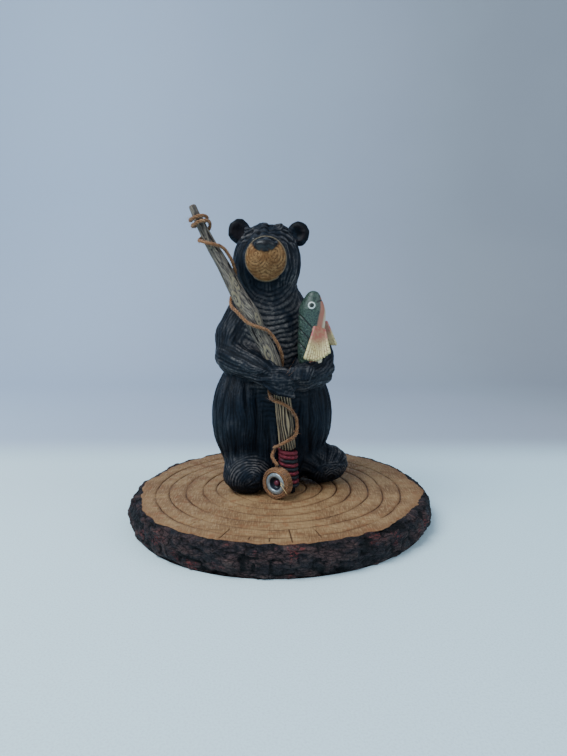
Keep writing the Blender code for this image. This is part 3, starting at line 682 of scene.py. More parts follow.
def big_locks(points, form, wander):
    """Depth of the broad locks that the CAD model has too, from 0 to 1."""
    count, _ = strand_coordinates(points, form, LOCK_PITCH)
    if form[-1] == "rings":
        sag = 0.011 * (points[:, 0] - form[1][0]) ** 2
        ring = (points[:, 2] - sag) / (0.8 * LOCK_PITCH)
        count = np.where(points[:, 1] < form[1][1] + 8, ring, count)
    return 1 - np.abs(np.sin(np.pi * (count + wander)))


def fine_hair(points, form, seed):
    """Height of the hair on one form, from 0 in the grooves to 1 on the strands."""
    count, along = strand_coordinates(points, form, HAIR_PITCH)
    sway = 0.9 * noise_at(seed, count * 0.22, along / 26) + 0.3 * noise_at(seed + 1, count * 0.8, along / 11)
    strand = ridge(count + sway, 0.8)
    uneven = noise_at(seed + 2, count * 0.9 + sway, along / 17)
    fine = ridge(2.7 * count + 3 * sway, 0.6)
    return np.clip(0.62 * strand + 0.2 * fine + 0.18 + 0.25 * uneven, 0, 1)


def chest_grooves(points, form):
    """Wavy grooves across the chest and belly, which hang between the shoulders."""
    x = points[:, 0] - form[1][0]
    z = points[:, 2]
    hang = (0.011 + 0.014 * ease_between(185, 212, z)) * x**2 * ease_between(100, 190, z)
    drawn_out = points * (1, 0.2, 0.7)
    wave = 0.42 * noise(drawn_out, 15, 31) + 0.26 * noise(drawn_out, 6.0, 32)
    return ridge((z - hang) / CHEST_PITCH + wave, 0.3)


def crown_waves(points):
    """Layers of wavy hair across the top of the head, one above the other."""
    arch = 0.012 * (points[:, 0] + 14) ** 2
    wave = 0.55 * noise(points * (1, 0.5, 0.6), 8, 35) + 0.2 * noise(points * (1, 0.5, 0.6), 3.5, 36)
    return ridge((points[:, 2] + arch - 0.25 * points[:, 1]) / CURL_PITCH + wave, 0.6)


def coat(points, form, seed):
    """Fine carving of one form, and its depth."""
    hair = fine_hair(points, form, seed)
    depth = np.full(len(points), HAIR_DEPTH)
    if form[0].startswith(("head", "tuft")):
        crown = ease_between(252, 257, points[:, 2])
        return hair * (1 - crown) + crown_waves(points) * crown, depth * (1 + 0.9 * crown)
    if form[-1] != "rings":
        return hair, depth
    front = ease_between(form[1][1] + 14, form[1][1] + 2, points[:, 1])
    share = front * ease_between(214, 204, points[:, 2] - 0.4 * np.abs(points[:, 0] + 12))
    smooth = 0.2 * HAIR_DEPTH * (front - share)
    depth = 0.7 * HAIR_DEPTH * (1 - front) + smooth + CHEST_DEPTH * share
    return hair * (1 - share) + chest_grooves(points, form) * share, depth


def curls(points, height, depth, locks):
    """Hair that is carved in arcs round a point, over what was there."""
    for centre, reach, pitch in CURLS:
        away = np.linalg.norm((points - np.array(centre)) * (1, 0.7, 1), axis=1)
        share = ease_between(reach, reach * 0.75, away)
        if reach > 20:
            share = share * (0.25 + 0.75 * ease_between(0.08, 0.4, away / reach))
        arcs = ridge(away / pitch + 0.75 * noise(points, 13, 41) + 0.35 * noise(points, 5, 42), 0.5)
        height = height * (1 - share) + arcs * share
        depth = depth * (1 - share) + HAIR_DEPTH * 1.1 * share
        locks = locks * (1 - 0.8 * share)
    return height, depth, locks


def muzzle_arcs(points):
    """Arcs carved round the two cheeks of the muzzle, and lines across the chin."""
    x, _, z = points.T
    arcs = np.zeros(len(points))
    for centre_x, centre_z in MUZZLE_CURLS:
        mine = (x < MUZZLE_CENTRE[0]) == (centre_x < MUZZLE_CENTRE[0])
        away = np.hypot((x - centre_x) * 1.05, (z - centre_z) * 0.85)
        arcs = np.where(mine, ridge(away / 2.7 + 0.3 * noise(points, 9, 51), 0.55), arcs)
    chin = ridge((z - 0.02 * (x + 14) ** 2) / 2.5 + 0.3 * noise(points, 8, 52), 0.55)
    share = ease_between(222, 226, z)
    return arcs * share + chin * (1 - share)


def blended_coat(points):
    """Locks, height and depth of the hair, dry brushing, and how far each point is on a smooth form."""
    distances = np.array([form_distance(points, form) for form in BEAR])
    weights = np.exp(-(distances - distances.min(axis=0)) / 2.2)
    weights /= weights.sum(axis=0)
    broad_wander = 0.5 * noise(points, 34, 1) + 0.12 * noise(points, 13, 2)
    locks, height, depth = np.zeros((3, len(points)))
    brushed, bare = np.zeros((2, len(points)))
    for seed, (form, weight) in enumerate(zip(BEAR, weights)):
        near = weight > 0.01
        part, share = points[near], weight[near]
        if form[-1] == "smooth":
            bare[near] += share
            continue
        lock_share = 0.15 if form[0] == "finger" else 0.3 if form[-1] == "rings" else 0.62
        locks[near] += share * lock_share * big_locks(part, form, broad_wander[near])
        hair, cut = coat(part, form, 60 + 7 * seed)
        height[near] += share * hair
        depth[near] += share * cut
        caught = BRUSHED.get(form[0], 0.12)
        if form[-1] == "rings":
            caught = caught * ease_between(88, 122, part[:, 2])
        if form[0].startswith("foot"):
            caught = caught * (0.15 + 0.85 * ease_between(8, 24, part[:, 2]))
        brushed[near] += share * caught
    hairy = np.maximum(1 - bare, 1e-6)
    height, depth, locks = curls(points, height / hairy, depth, locks)
    return locks, height, depth * (1 - bare), brushed, bare


def face_distances(points):
    """How far outside the tan muzzle, the nose, the nearest eye and the dark bridge each point is."""
    x, y, z = points.T
    aside, above = (x - MUZZLE_CENTRE[0]) / MUZZLE_REACH[0], (z - MUZZLE_CENTRE[1]) / MUZZLE_REACH[1]
    tan = np.maximum((np.hypot(aside, above) - 1) * 20, (y + 29.5) * 0.8)
    nose = np.min([form_distance(points, form) for form in BEAR if form[0] in ("nose", "nose_point")], axis=0)
    eye = np.min([form_distance(points, form) for form in EYES], axis=0)
    bridge = (np.hypot((x + 14.5) / 13.5, (z - 253.5) / 6.5) - 1) * 8
    return tan, nose, eye, bridge


def carve_bear(points):
    """How far each point moves outward, and the values that its paint needs."""
    locks, height, depth, brushed, bare = blended_coat(points)
    tan, nose, eye, bridge = face_distances(points)
    x, y, z = points.T
    on_tan = ease_between(0.5, -1.5, tan) * ease_between(0.2, 1.2, nose)
    arcs = muzzle_arcs(points)
    height = height * (1 - on_tan) + arcs * on_tan
    depth += 0.55 * on_tan * ease_between(0, 1.5, np.maximum(-tan, 0))
    ears = np.max([ease_between(1.4, 0.2, ellipsoid_distance(points, *h[1:4])) for h in BEAR_HOLLOWS], axis=0)
    ears *= y < 14
    nostrils = sum(bell(np.linalg.norm(points - np.array(n), axis=1), 2.1) for n in NOSTRILS)
    moved = -depth * (1 - height) - LOCK_DEPTH * locks * (0.85 + 0.4 * noise(points, 20, 3)) - 1.1 * nostrils
    moved += 0.14 * noise(points, 2.4, 4) * (1 - bare)
    moved += 1.4 * noise(points, 5, 7) * (1 - bare) * ease_between(262, 268, z)
    by_ears = ease_between(23, 27, np.abs(x + 12.5)) * ease_between(252, 256, z) * bare
    moved += by_ears * (0.3 + 0.7 * noise(points, 4.5, 5) + 0.4 * noise(points, 2, 6))
    values = dict(ridge=height - 0.35 * locks, brushed=brushed, tan=tan, nose=nose, eye=eye, bridge=bridge)
    return moved, dict(values, ear=ears)


def bear_paint(tree):
    ridges, brushed, tan, bridge, nose, eye, ear = kept(
        tree, "ridge", "brushed", "tan", "bridge", "nose", "eye", "ear"
    )
    grain, blotches = mottle(tree, 1.5, 4), mottle(tree, 16, 3, shift=3.0)
    brush = (ridges * 0.8 + grain * 0.42).span(0.66, 1.1) * brushed * blotches.span(0.3, 0.6)
    brush = brush * mottle(tree, 4.5, 3, shift=9.0).span(0.36, 0.6, 0.3, 1.0)
    fur = layered(
        blotches.between((2, 6, 14), (7, 11, 17)),
        # the strand tops are painted a lighter blue-grey than the grooves: a painted highlight (the brush
        # layer below is the statue's dry-brushed paint)
        (ridges.span(0.3, 1.0), (14, 25, 37)),
        (brush, (112, 106, 102)),
        (ear * 0.8, mottle(tree, 3, 3).between((12, 11, 16), (34, 28, 32))),
    )
    edge = tan + (grain - 0.5) * 1.6
    streaked = mottle(tree, 2.0, 2, (3, 3, 1)).span(0.5, 0.75).between((8, 12, 20), (66, 70, 76))
    muzzle = layered(
        ridges.span(0.1, 1.0).between((56, 36, 22), (142, 106, 68)),
        (mottle(tree, 7, 4, shift=6.0).span(0.40, 0.62, 0.0, 0.7), (96, 62, 34)),
        (mottle(tree, 2.2, 3, shift=8.0).span(0.52, 0.66, 0.0, 0.6), (70, 44, 24)),
        (bridge.span(1.0, -1.2), streaked),
        (edge.span(-1.3, -0.7) * edge.span(0.2, -0.4) * 0.7, (112, 104, 86)),
    )
    shiny = nose.maths("MINIMUM", eye).span(0.7, 0.25)
    return {
        "Base Color": layered(fur, (edge.span(0.2, -0.5), muzzle), (shiny, (6, 8, 14))),
        "Roughness": grain.span(0.2, 0.8, 0.45, 0.65) - shiny * 0.2,
        "Specular IOR Level": shiny * 0.25 + 0.12,
        "Normal": bumped(tree, mottle(tree, 0.9, 3), 0.12),
    }


# The trout


def carve_fish(points):
    """How far each point of the trout moves outward, and the values that its paint needs."""
    x, y, z = points.T
    rays = [form for form in TROUT if form[0] == "ray"]
    ray_distances = np.array([form_distance(points, ray) for ray in rays])
    nearest = ray_distances.argmin(axis=0)
    closest = np.sort(ray_distances, axis=0)[:2]
    shares = np.array([limb_share(points, *ray[1:3]) for ray in rays])
    fin_share = np.take_along_axis(shares, nearest[None], axis=0)[0]
    on_fin = ease_between(1.0, 0.1, ray_distances.min(axis=0))
    across = x + 0.4 * y
    along = (z - 64.5) + (x + 12)
    gill = sum(bell(along - at, 1.0) for at in GILLS)
    gill *= ease_between(6, 3.5, across)
    scallops = 1 - ridge((along + 2.2 * np.abs(np.sin(0.36 * (x - z)))) / 6.2, 0.3)
    scallops *= ease_between(-1, -4, along) * ease_between(5, 2, across)
    gill = np.maximum(gill, scallops) * (1 - on_fin)
    second = bell(z - 49.5 + 0.38 * (x - 4), 0.8) * (across > 1) * (1 - on_fin)
    mouth = bell(z - 78.5 - 0.35 * (x - 8), 0.8) * ease_between(2, 6, x)
    eye_away = np.linalg.norm((points - np.array(FISH_EYE)) * (1, 0.3, 1), axis=1)
    eye_away += 8 * ease_between(-1, 3, y)
    dome = np.clip(1 - (eye_away / FISH_EYE_RADIUS) ** 2, 0, 1)
    ribs = ease_between(0.1, 1.3, closest[1] - closest[0]) * on_fin
    fine_scales = noise(points * (1, 0.6, 1), 1.5, 71)
    fine_scales *= ease_between(0.5, 0, on_fin) * ease_between(58, 52, z)
    moved = -1.0 * gill - 0.4 * second - 0.4 * mouth + 1.1 * np.sqrt(dome) + 0.5 * ribs - 0.5 * on_fin
    moved += 0.16 * fine_scales + 0.08 * noise(points, 1.6, 72)
    flank = across - (2.4 + 0.17 * (z - 58)) + 0.5 * noise(points, 4, 73)
    line = np.clip(gill + second + mouth, 0, 1)
    return moved, dict(flank=flank, fin=on_fin, fin_share=fin_share, line=line, eye=eye_away, rib=ribs)


def fish_paint(tree):
    flank, share, rib, on_fin, line, eye = kept(tree, "flank", "fin_share", "rib", "fin", "line", "eye")
    speckle, cloud = mottle(tree, 1.3, 3), mottle(tree, 7, 3, shift=5.0)
    body = layered(
        speckle.span(0.35, 0.7).between((30, 46, 42), (68, 88, 74)),
        (flank.span(-0.8, 1.4), cloud.between((170, 96, 74), (150, 104, 84))),
        (flank.span(5.0, 8.5), cloud.between((186, 172, 140), (200, 188, 160))),
    )
    specks = mottle(tree, 1.7, 1, shift=9.0).span(0.56, 0.63) * share.span(0.3, 0.5)
    fin = layered(
        mottle(tree, 2.5, 3, shift=4.0).span(0.4, 0.6).between((176, 84, 84), (176, 128, 104)),
        (share.span(0.25, 0.65), cloud.between((200, 184, 112), (214, 204, 160))),
        (specks * 0.75, (112, 84, 56)),
        (rib.span(0.6, 0.1, 0.0, 0.6), (112, 76, 48)),
    )
    colour = layered(
        body,
        (on_fin.span(0.35, 0.7), fin),
        (line.span(0.2, 0.7), (14, 22, 20)),
        (eye.span(FISH_EYE_RADIUS + 0.1, FISH_EYE_RADIUS - 0.3), (214, 222, 218)),
        (eye.span(2.65, 2.35), (30, 46, 40)),
        (eye.span(1.5, 1.1), (8, 14, 14)),
    )
    return {
        "Base Color": colour,
        "Roughness": speckle.span(0.2, 0.8, 0.34, 0.55),
        "Normal": bumped(tree, speckle, 0.12),
    }


# The rod


def rod_line():
    """Centre and radius all down the wooden rod, to its foot."""
    line = smooth_line(ROD_LINE, 6)
    line[:, 3] *= ROD_DIAMETER / 2
    return np.vstack([line, [*grip_foot(), line[-1, 3]]])


def grip_foot():
    return np.array([*GRIP_FOOT, GAP + GRIP_CORE_DIAMETER / 16])


def at_height(line, height):
    return np.array([np.interp(-height, -line[:, 2], line[:, i]) for i in range(4)])


def grip_radius():
    """How far out the cords wound round the grip reach in CAD, where a turn has only a few corners."""
    return GRIP_CORD_REACH / math.cos(math.pi / GRIP_STEPS) + GRIP_CORD_DIAMETER / 2


def rod_frame(line, height):
    """Centre, right, front and radius of the rod at this height."""
    centre = at_height(line, height)
    down = at_height(line, height - 4)[:3] - at_height(line, height + 4)[:3]
    down = down / np.linalg.norm(down)
    right = np.array([1.0, 0, 0]) - down * down[0]
    right /= np.linalg.norm(right)
    return centre[:3], right, np.cross(down, right), centre[3]


def rod_grain(along, degrees, radius):
    """Height of the driftwood's grain, from 0 in the cracks to 1, and how near a knot each point is."""
    across = np.radians(degrees) * radius
    swirl, near_knot = np.zeros(along.shape), np.zeros(along.shape)
    bend = np.zeros(along.shape)
    for at, toward, size in KNOTS:
        aside = np.radians((degrees - toward + 180) % 360 - 180) * radius
        away = np.hypot(aside / size, (along - at) / (2.4 * size))
        share = bell(away, 1.25)
        swirl = np.where(share > near_knot, ridge(1.55 * away, 0.8), swirl)
        near_knot = np.maximum(near_knot, share)
        bend += 1.6 * size * bell(away, 2.0) * np.tanh(aside / size)
    flow = across + bend
    forward = np.cos(np.radians(degrees)) * radius * 0.4
    fine = noise_at(81, flow / 1.1, along / 22, forward)
    coarse = noise_at(82, flow / 2.6, along / 38, forward)
    deep = ease_between(178, 196, along)
    flutes = ridge(flow / 3.3 + 0.55 * noise_at(83, along / 18, flow / 6), 0.9)
    checks = ease_between(0.42, 0.7, noise_at(84, flow / 1.5, along / 14, forward))
    plain = 0.6 + 0.35 * fine + 0.35 * coarse - 0.6 * checks
    grain = plain * (1 - deep) + (0.85 * flutes + 0.15 * plain) * deep
    grain = grain * (1 - near_knot) + (0.25 + 0.7 * swirl) * near_knot
    return np.clip(grain, 0, 1), near_knot, deep, flow


def make_rod():
    line = rod_line()
    wood = even_line(line[line[:, 2] > GRIP_LENGTH], 0.8)
    wood = np.vstack([wood, at_height(line, GRIP_LENGTH - TWINE_DIAMETER / 2)])
    sides = 56
    along = lengths_along(wood)[:, None] + np.zeros(sides)
    ring = round_about(wood[:, :3], sides)
    degrees = np.degrees(np.arctan2(ring[..., 0], -ring[..., 1]))
    radius = wood[:, 3][:, None] + np.zeros(sides)
    grain, knot, deep, flow = rod_grain(along, degrees, radius)
    lumps = 0.5 + 0.5 * noise_at(85, along / 16, np.cos(np.radians(degrees)), np.sin(np.radians(degrees)))
    depth = 1.0 + 0.9 * deep
    reach = radius - 0.1 - depth * (1 - grain) - 0.5 * lumps
    end = ease_between(-0.3, 1.6, along)
    points = wood[:, None, :3] + ring * (reach * (0.82 + 0.18 * end))[..., None]
    core_line = np.array([wood[-1, :3] + (0, 0, 0.6), grip_foot()])
    core = tube(even_line(core_line, 2), GRIP_CORE_DIAMETER / 2, 24)
    blank = np.zeros(core.shape[:2])
    tip = ease_between(1.2, 0.0, along)
    wooden = dict(grain=grain, knot=knot, deep=deep, across=flow, along=along, tip=tip, core=along * 0)
    values = {key: [value, blank + (key == "core")] for key, value in wooden.items()}
    mesh = skin("driftwood_rod", [points, core], values)
    add_piece(mesh, material("driftwood", driftwood_paint), "driftwood", "rod")


def driftwood_paint(tree):
    grain, deep, knot, tip, core = kept(tree, "grain", "deep", "knot", "tip", "core")
    fine, broad = streaks(tree, 0.55, 9.0, 4, "across"), streaks(tree, 3.2, 30.0, 2, "across")
    knot = knot.span(0.15, 0.6)
    wood = layered(
        broad.span(0.35, 0.65).between((58, 54, 54), (104, 96, 88)),
        (fine.span(0.50, 0.68), (146, 137, 118)),
        (fine.span(0.47, 0.32), (44, 36, 34)),
        (grain.span(0.55, 0.2), (20, 15, 14)),
        (deep * grain.span(0.85, 0.5, 0.0, 0.85), (36, 24, 16)),
        (deep * grain.span(0.66, 0.9, 0.0, 0.85), (166, 145, 112)),
        (knot * grain.span(0.55, 0.3, 0.0, 0.9), (26, 20, 18)),
        (knot * grain.span(0.6, 0.85, 0.0, 0.6), (140, 128, 100)),
        (tip * 0.8, (110, 86, 68)),
        (core, (12, 12, 16)),
    )
    return {
        "Base Color": wood,
        "Roughness": fine.span(0.2, 0.8, 0.9, 0.68),
        "Specular IOR Level": 0.2,
        "Normal": bumped(tree, fine + grain * 0.5, 0.3),
    }


# Twine


def twine_line():
    """From the rod's tip to the top of the reel, hugging the rod and its grip."""
    line = rod_line()
    places = []
    for height, degrees in smooth_line(TWINE_TURNS, 8):
        centre, right, front, radius = rod_frame(line, height)
        grip = np.clip((GRIP_LENGTH + TWINE_DIAMETER - height) / TWINE_DIAMETER, 0, 1)
        reach = radius + grip * max(0.0, grip_radius() - radius) + TWINE_CLEARANCE + TWINE_DIAMETER / 2
        angle = math.radians(degrees)
        places.append(centre + reach * (front * math.cos(angle) + right * math.sin(angle)))
    landing = reel_centre() + np.array([0, 0, REEL_DIAMETER / 2 + GAP + TWINE_DIAMETER / 2])
    leaving = places[-1]
    between = (leaving + landing) / 2 + TWINE_DIAMETER * np.array([-1.1, -0.55, 0.55])
    tail = smooth_line([places[-8], leaving, between, landing], 4)[4:]
    return even_line(smooth_line(np.array(places[:-1] + list(tail))[::2], 3), 0.9)


def plies(line, diameter, sides=9):
    """Three strands twisted round a line, with how far round and along each point is."""
    along = lengths_along(line)
    _, across, up = frames(line)
    for ply in range(3):
        angle = 2 * np.pi * (along / PLY_TURN + ply / 3)
        offset = across * np.cos(angle)[:, None] + up * np.sin(angle)[:, None]
        uneven = 1 + 0.12 * noise_at(90 + ply, along / 6, along * 0)
        grid = tube(line + 0.27 * diameter * offset, (0.235 * diameter * uneven)[:, None], sides)
        around = np.arange(sides) / sides * 3 + along[:, None] / PLY_TURN * 3 + 5 * ply
        yield grid, around, along[:, None] + np.zeros(sides)


def hair(start, direction, length, bend, radius):
    """One thin fibre that tapers to its end."""
    share = np.linspace(0, 1, 5)[:, None]
    line = start + share * length * direction + share**2 * bend
    return tube(line, radius * (1 - 0.75 * share), 3)


def fuzz(line, radius, spacing, length, seed):
    """Fibres that stand out of a twine."""
    dice = np.random.default_rng(seed)
    ahead, across, up = frames(line)
    for _ in range(round(lengths_along(line)[-1] / spacing)):
        i = dice.integers(1, len(line) - 1)
        angle = dice.uniform(0, 2 * np.pi)
        out = across[i] * math.cos(angle) + up[i] * math.sin(angle)
        direction = 0.6 * out + ahead[i] * dice.normal(0, 0.9) + 0.25 * dice.normal(size=3)
        direction /= np.linalg.norm(direction)
        reach = length * dice.uniform(0.35, 1.2)
        yield hair(line[i] + out * radius, direction, reach, out * -0.35 * reach, FIBRE_RADIUS)


def frays(seed):
    """Bundles of loose fibres where the twine is worn or cut."""
    dice = np.random.default_rng(seed)
    for place, toward, count, length in FRAYS:
        for _ in range(count):
            direction = np.array(toward) / np.linalg.norm(toward) + 0.45 * dice.normal(size=3)
            start = np.array(place) + 0.9 * dice.normal(size=3)
            reach = length * dice.uniform(0.5, 1.2)
            yield hair(start, direction, reach, 0.3 * reach * dice.normal(size=3), FRAY_RADIUS)


def twine_mesh(name, lines, diameter, fibres):
    """Twisted twine along each line, with its fibres."""
    strands = [strand for line in lines for strand in plies(line, diameter)]
    for number, fibre in enumerate(fibres, len(strands) + 1):
        rows, sides = fibre.shape[:2]
        along = np.linspace(0, 1, rows)[:, None] + np.zeros(sides)
        strands.append((fibre, np.full((rows, sides), number * 0.37), along))
    grids, around, along = zip(*strands)
    return skin(name, grids, {"around": around, "along": along})


def jute_paint(tree):
    fibres, tone = streaks(tree, 0.16, 5.0, 4), streaks(tree, 3.0, 14.0, 2)
    colour = layered(
        tone.between((92, 58, 34), (148, 100, 62)),
        (fibres.span(0.5, 0.68), (192, 148, 102)),
        (fibres.span(0.47, 0.34), (54, 30, 16)),
        (kept(tree, "straw"), (216, 186, 132)),
    )
    return {
        "Base Color": colour,
        "Roughness": fibres.span(0.2, 0.8, 0.95, 0.75),
        "Specular IOR Level": 0.2,
        "Sheen Weight": 0.25,
        "Normal": bumped(tree, fibres, 0.3),
    }


def make_twine(jute):
    line = twine_line()
    fibres = [*fuzz(line, TWINE_DIAMETER * 0.42, 0.5, 3.4, 11), *frays(12)]
    mesh = twine_mesh("jute_twine", [line], TWINE_DIAMETER, fibres)
    add_piece(mesh, jute, "jute", "twine")


# The grip


def grip_cord_line(start, more):
    """Middle line of one of the two cords wound round the butt, this many turns longer than in CAD."""
    top, foot = at_height(rod_line(), GRIP_LENGTH)[:3], grip_foot()
    axis = foot - top
    length = np.linalg.norm(axis)
    axis /= length
    right = np.array([1.0, 0, 0]) - axis * axis[0]
    right /= np.linalg.norm(right)
    front = np.cross(axis, right)
    pitch = 2 * (GRIP_CORD_DIAMETER + GAP)
    room = length - 2 * GRIP_CORD_DIAMETER - pitch / 2
    turns = math.floor(room / pitch * GRIP_STEPS) / GRIP_STEPS
    line = []
    for turn in np.arange(0, turns + more, 1 / 40):
        angle = GRIP_START + 2 * math.pi * turn
        down = GRIP_CORD_DIAMETER * 0.7 + pitch * (turn + start)
        out = front * math.cos(angle) + right * math.sin(angle)
        line.append(top + axis * down + GRIP_CORD_REACH * out)
    return np.array(line)


def make_grip_cord(name, start, more, paints, slot, node_name):
    line = grip_cord_line(start, more)
    along = lengths_along(line)
    sides = 16
    twist = 2 * np.pi * along[:, None] / 7 + 2 * np.pi * np.arange(sides) * 3 / sides
    radius = GRIP_CORD_DIAMETER / 2 * (0.96 + 0.07 * np.abs(np.cos(twist / 2)))
    grid = tube(line, radius, sides)
    around = np.arange(sides) / sides * 4 + along[:, None] / 7
    grids = [grid, *fuzz(line, GRIP_CORD_DIAMETER * 0.46, 2.2, 1.8, 21)]
    blanks = [np.zeros(g.shape[:2]) for g in grids[1:]]
    values = {"around": [around, *blanks], "along": [along[:, None] + np.zeros(sides), *blanks]}
    add_piece(skin(name, grids, values), material(name, paints), slot, node_name)


def cord_paint(dark, light, first_turn=None):
    """Paint of a twisted cord, with its first turn in another colour if one is given."""

    def build(tree):
        fibres = streaks(tree, 0.22, 3.5, 3)
        colour = fibres.span(0.35, 0.7).between(dark, light)
        if first_turn:
            colour = layered(colour, (kept(tree, "along").span(66, 54), fibres.between(dark, first_turn)))
        return {
            "Base Color": colour,
            "Roughness": fibres.span(0.2, 0.8, 0.85, 0.6),
            "Specular IOR Level": 0.3,
            "Normal": bumped(tree, fibres, 0.3),
        }

    return build


# The reel


def reel_centre():
    """The middle of the CAD model's ring of twine."""
    low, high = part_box("reel_twine")
    return (np.array(low) + np.array(high)) / 2 / MM - (0, 0, TOP)


def reel_frame():
    """The directions to the right, up and out of the reel's face."""
    out = np.array([-math.sin(REEL_TURN), -math.cos(REEL_TURN), 0.0])
    up = np.array([0.0, 0.0, 1.0])
    return np.cross(up, out), up, out


def round_axle(angle):
    """Directions out from the reel's axis, one for each angle."""
    right, up, _ = reel_frame()
    return right * np.cos(angle)[:, None] + up * np.sin(angle)[:, None]


def on_reel(profile, steps):
    """A profile of radius and height turned about the reel's axis."""
    ring = round_axle(2 * np.pi * np.arange(steps) / steps)
    out = reel_frame()[2]
    return reel_centre() + np.array([ring * radius + out * height for radius, height in profile])


def make_reel():
    """A silver spool with a well painted dark as shade, and a purple-red hub in it."""
    half = REEL_WIDTH / 2
    face, well, hub = REEL_FACE_DIAMETER / 2, REEL_WELL_DIAMETER / 2, REEL_HUB_DIAMETER / 2
    core = well + REEL_WALL
    floor = half - REEL_WIDTH * 0.55
    profile = [
        (0.05, half - 2.0),
        (hub * 0.55, half - 2.1),
        (hub * 0.85, half - 2.4),
        (hub, half - 3.0),
        (hub, floor),
        (well - 1.0, floor),
        (well - 0.5, half - 2.6),
        (well - 0.1, half - 1.3),
        (well + 0.5, half - 0.5),
        (well + 1.2, half - 0.1),
        (well + 2.0, half),
        (face - 1.6, half - 0.05),
        (face - 0.7, half - 0.25),
        (face - 0.15, half - 0.8),
        (face, half - 1.3),
        (face - 0.1, half - 2.1),
        (core, half - 2.2),
        (core, -half),
        (hub, -half),
        (hub, -half - 4.5),
        (0.05, -half - 4.5),
    ]
    steps = 72
    sway = np.cos(2 * np.pi * np.arange(steps) / steps) * 2
    wobble = 1 + 0.006 * noise_at(95, np.arange(len(profile))[:, None] * 0.4, sway)
    centre = reel_centre()
    grid = centre + (on_reel(profile, steps) - centre) * wobble[..., None]
    radius, height = np.repeat(np.array(profile)[..., None], steps, axis=2).transpose(1, 0, 2)
    mesh = skin("spool", [grid], {"from_axis": [radius], "below": [half - height]})
    add_piece(mesh, material("silver_paint", spool_paint), "reel_metal", "reel")


def spool_paint(tree):
    radius, below = kept(tree, "from_axis", "below")
    worn = mottle(tree, 2.5, 4)
    # Painted shade: the spool is painted dark blue-black wherever it lies more than about a millimetre below
    # its face, in the well, on the core and at the back
    deep = below.span(0.35, 1.1)
    hub = radius.span(REEL_HUB_DIAMETER / 2 + 0.4, REEL_HUB_DIAMETER / 2)
    colour = layered(
        worn.between((120, 130, 138), (180, 190, 194)),
        # painted shade below the face
        (deep, worn.between((16, 22, 34), (40, 48, 60))),
        (hub, worn.between((66, 22, 40), (112, 44, 62))),
    )
    return {
        "Base Color": colour,
        "Metallic": deep.maths("MAXIMUM", hub) * -0.7 + 0.75,
        "Roughness": worn.span(0.2, 0.8, 0.26, 0.48),
        "Normal": bumped(tree, worn, 0.15),
    }


def make_winding(jute):
    """Turns of the twine wound on the spool, over a dark filling."""
    half = REEL_WIDTH / 2
    core, face = REEL_WELL_DIAMETER / 2 + REEL_WALL + GAP, REEL_FACE_DIAMETER / 2 + GAP
    outer = REEL_DIAMETER / 2
    thread = TWINE_DIAMETER * 0.66
    out = reel_frame()[2]
    lines = []
    front = half - thread / 2
    layers = [
        (outer - thread * 0.5, (-front, -front / 3, front / 3, front)),
        (outer - thread * 1.35, (front + 0.3, -front)),
    ]
    for radius, heights in layers:
        for height in heights:
            turn = np.linspace(0, 2 * np.pi, 90)
            wander = 0.35 * noise_at(97, np.cos(turn) * 2, np.sin(turn) * 2, turn * 0 + height + radius)
            reach, aside = (radius + wander - 0.3)[:, None], (height + wander)[:, None]
            lines.append(reel_centre() + round_axle(turn) * reach + out * aside)
    fibres = [hair_grid for line in lines for hair_grid in fuzz(line, thread * 0.45, 0.8, 3.4, 31)]
    mesh = twine_mesh("reel_winding", lines, thread, fibres)
    loose = list(straws())
    mark = {"straw": [np.ones(grid.shape[:2]) for grid in loose]}
    add_piece(skin("loose_straws", loose, mark), jute, "jute", "reel_twine")
    behind, rim = half - 2.4, outer - thread
    filling = [(core, -half), (rim, -half), (rim, behind), (face, behind), (core, behind - 1)]
    inner = skin("winding_core", [on_reel(filling, 48)], ring=True)
    store(inner, "around", np.zeros(len(inner.vertices)))
    store(inner, "along", np.zeros(len(inner.vertices)))
    add_piece(inner, jute, "jute", "reel_twine")
    add_piece(mesh, jute, "jute", "reel_twine")


def straws():
    """Two stiff loose fibres that lie across the reel."""
    right, _, out = reel_frame()
    start = reel_centre() + right * 8.5 + out * (REEL_WIDTH / 2 + 1.6) + np.array([0, 0, 1.5])
    for step, end in enumerate(((17, -8), (14.5, -1.5))):
        direction = right * (end[0] - 8.5) + np.array([0, 0, end[1] - 1.5]) + out * 0.5
        length = np.linalg.norm(direction)
        raised = start + np.array([0, 0, 1.8 * step])
        yield hair(raised, direction / length, length, out * -0.6, STRAW_RADIUS)


# The plinth


def rim_reach(angle, radius):
    """Distance from the pith to a circle of this radius about the plinth's middle, a little out of round."""
    along = -(PITH[0] * np.cos(angle) + PITH[1] * np.sin(angle))
    across = PITH[0] ** 2 + PITH[1] ** 2 - along**2
    uneven = 1 + 0.013 * np.cos(2 * angle - 2.1) + 0.006 * np.cos(3 * angle + 0.6)
    return along + np.sqrt((radius * uneven) ** 2 - across)


def plinth_angles():
    """Directions round the pith, closer together beside each crack."""
    even = np.arange(0, 2 * np.pi, 2 * np.pi / 600)
    cracks = [math.radians(crack[0]) % (2 * math.pi) for crack in CRACKS]
    offsets = np.array([-0.011, -0.006, -0.003, 0, 0.003, 0.006, 0.011])
    near = np.concatenate([(crack + offsets) % (2 * math.pi) for crack in cracks])
    keep = [a for a in even if min(abs(a - crack) for crack in cracks) > 0.014]
    return np.sort(np.concatenate([keep, near]))


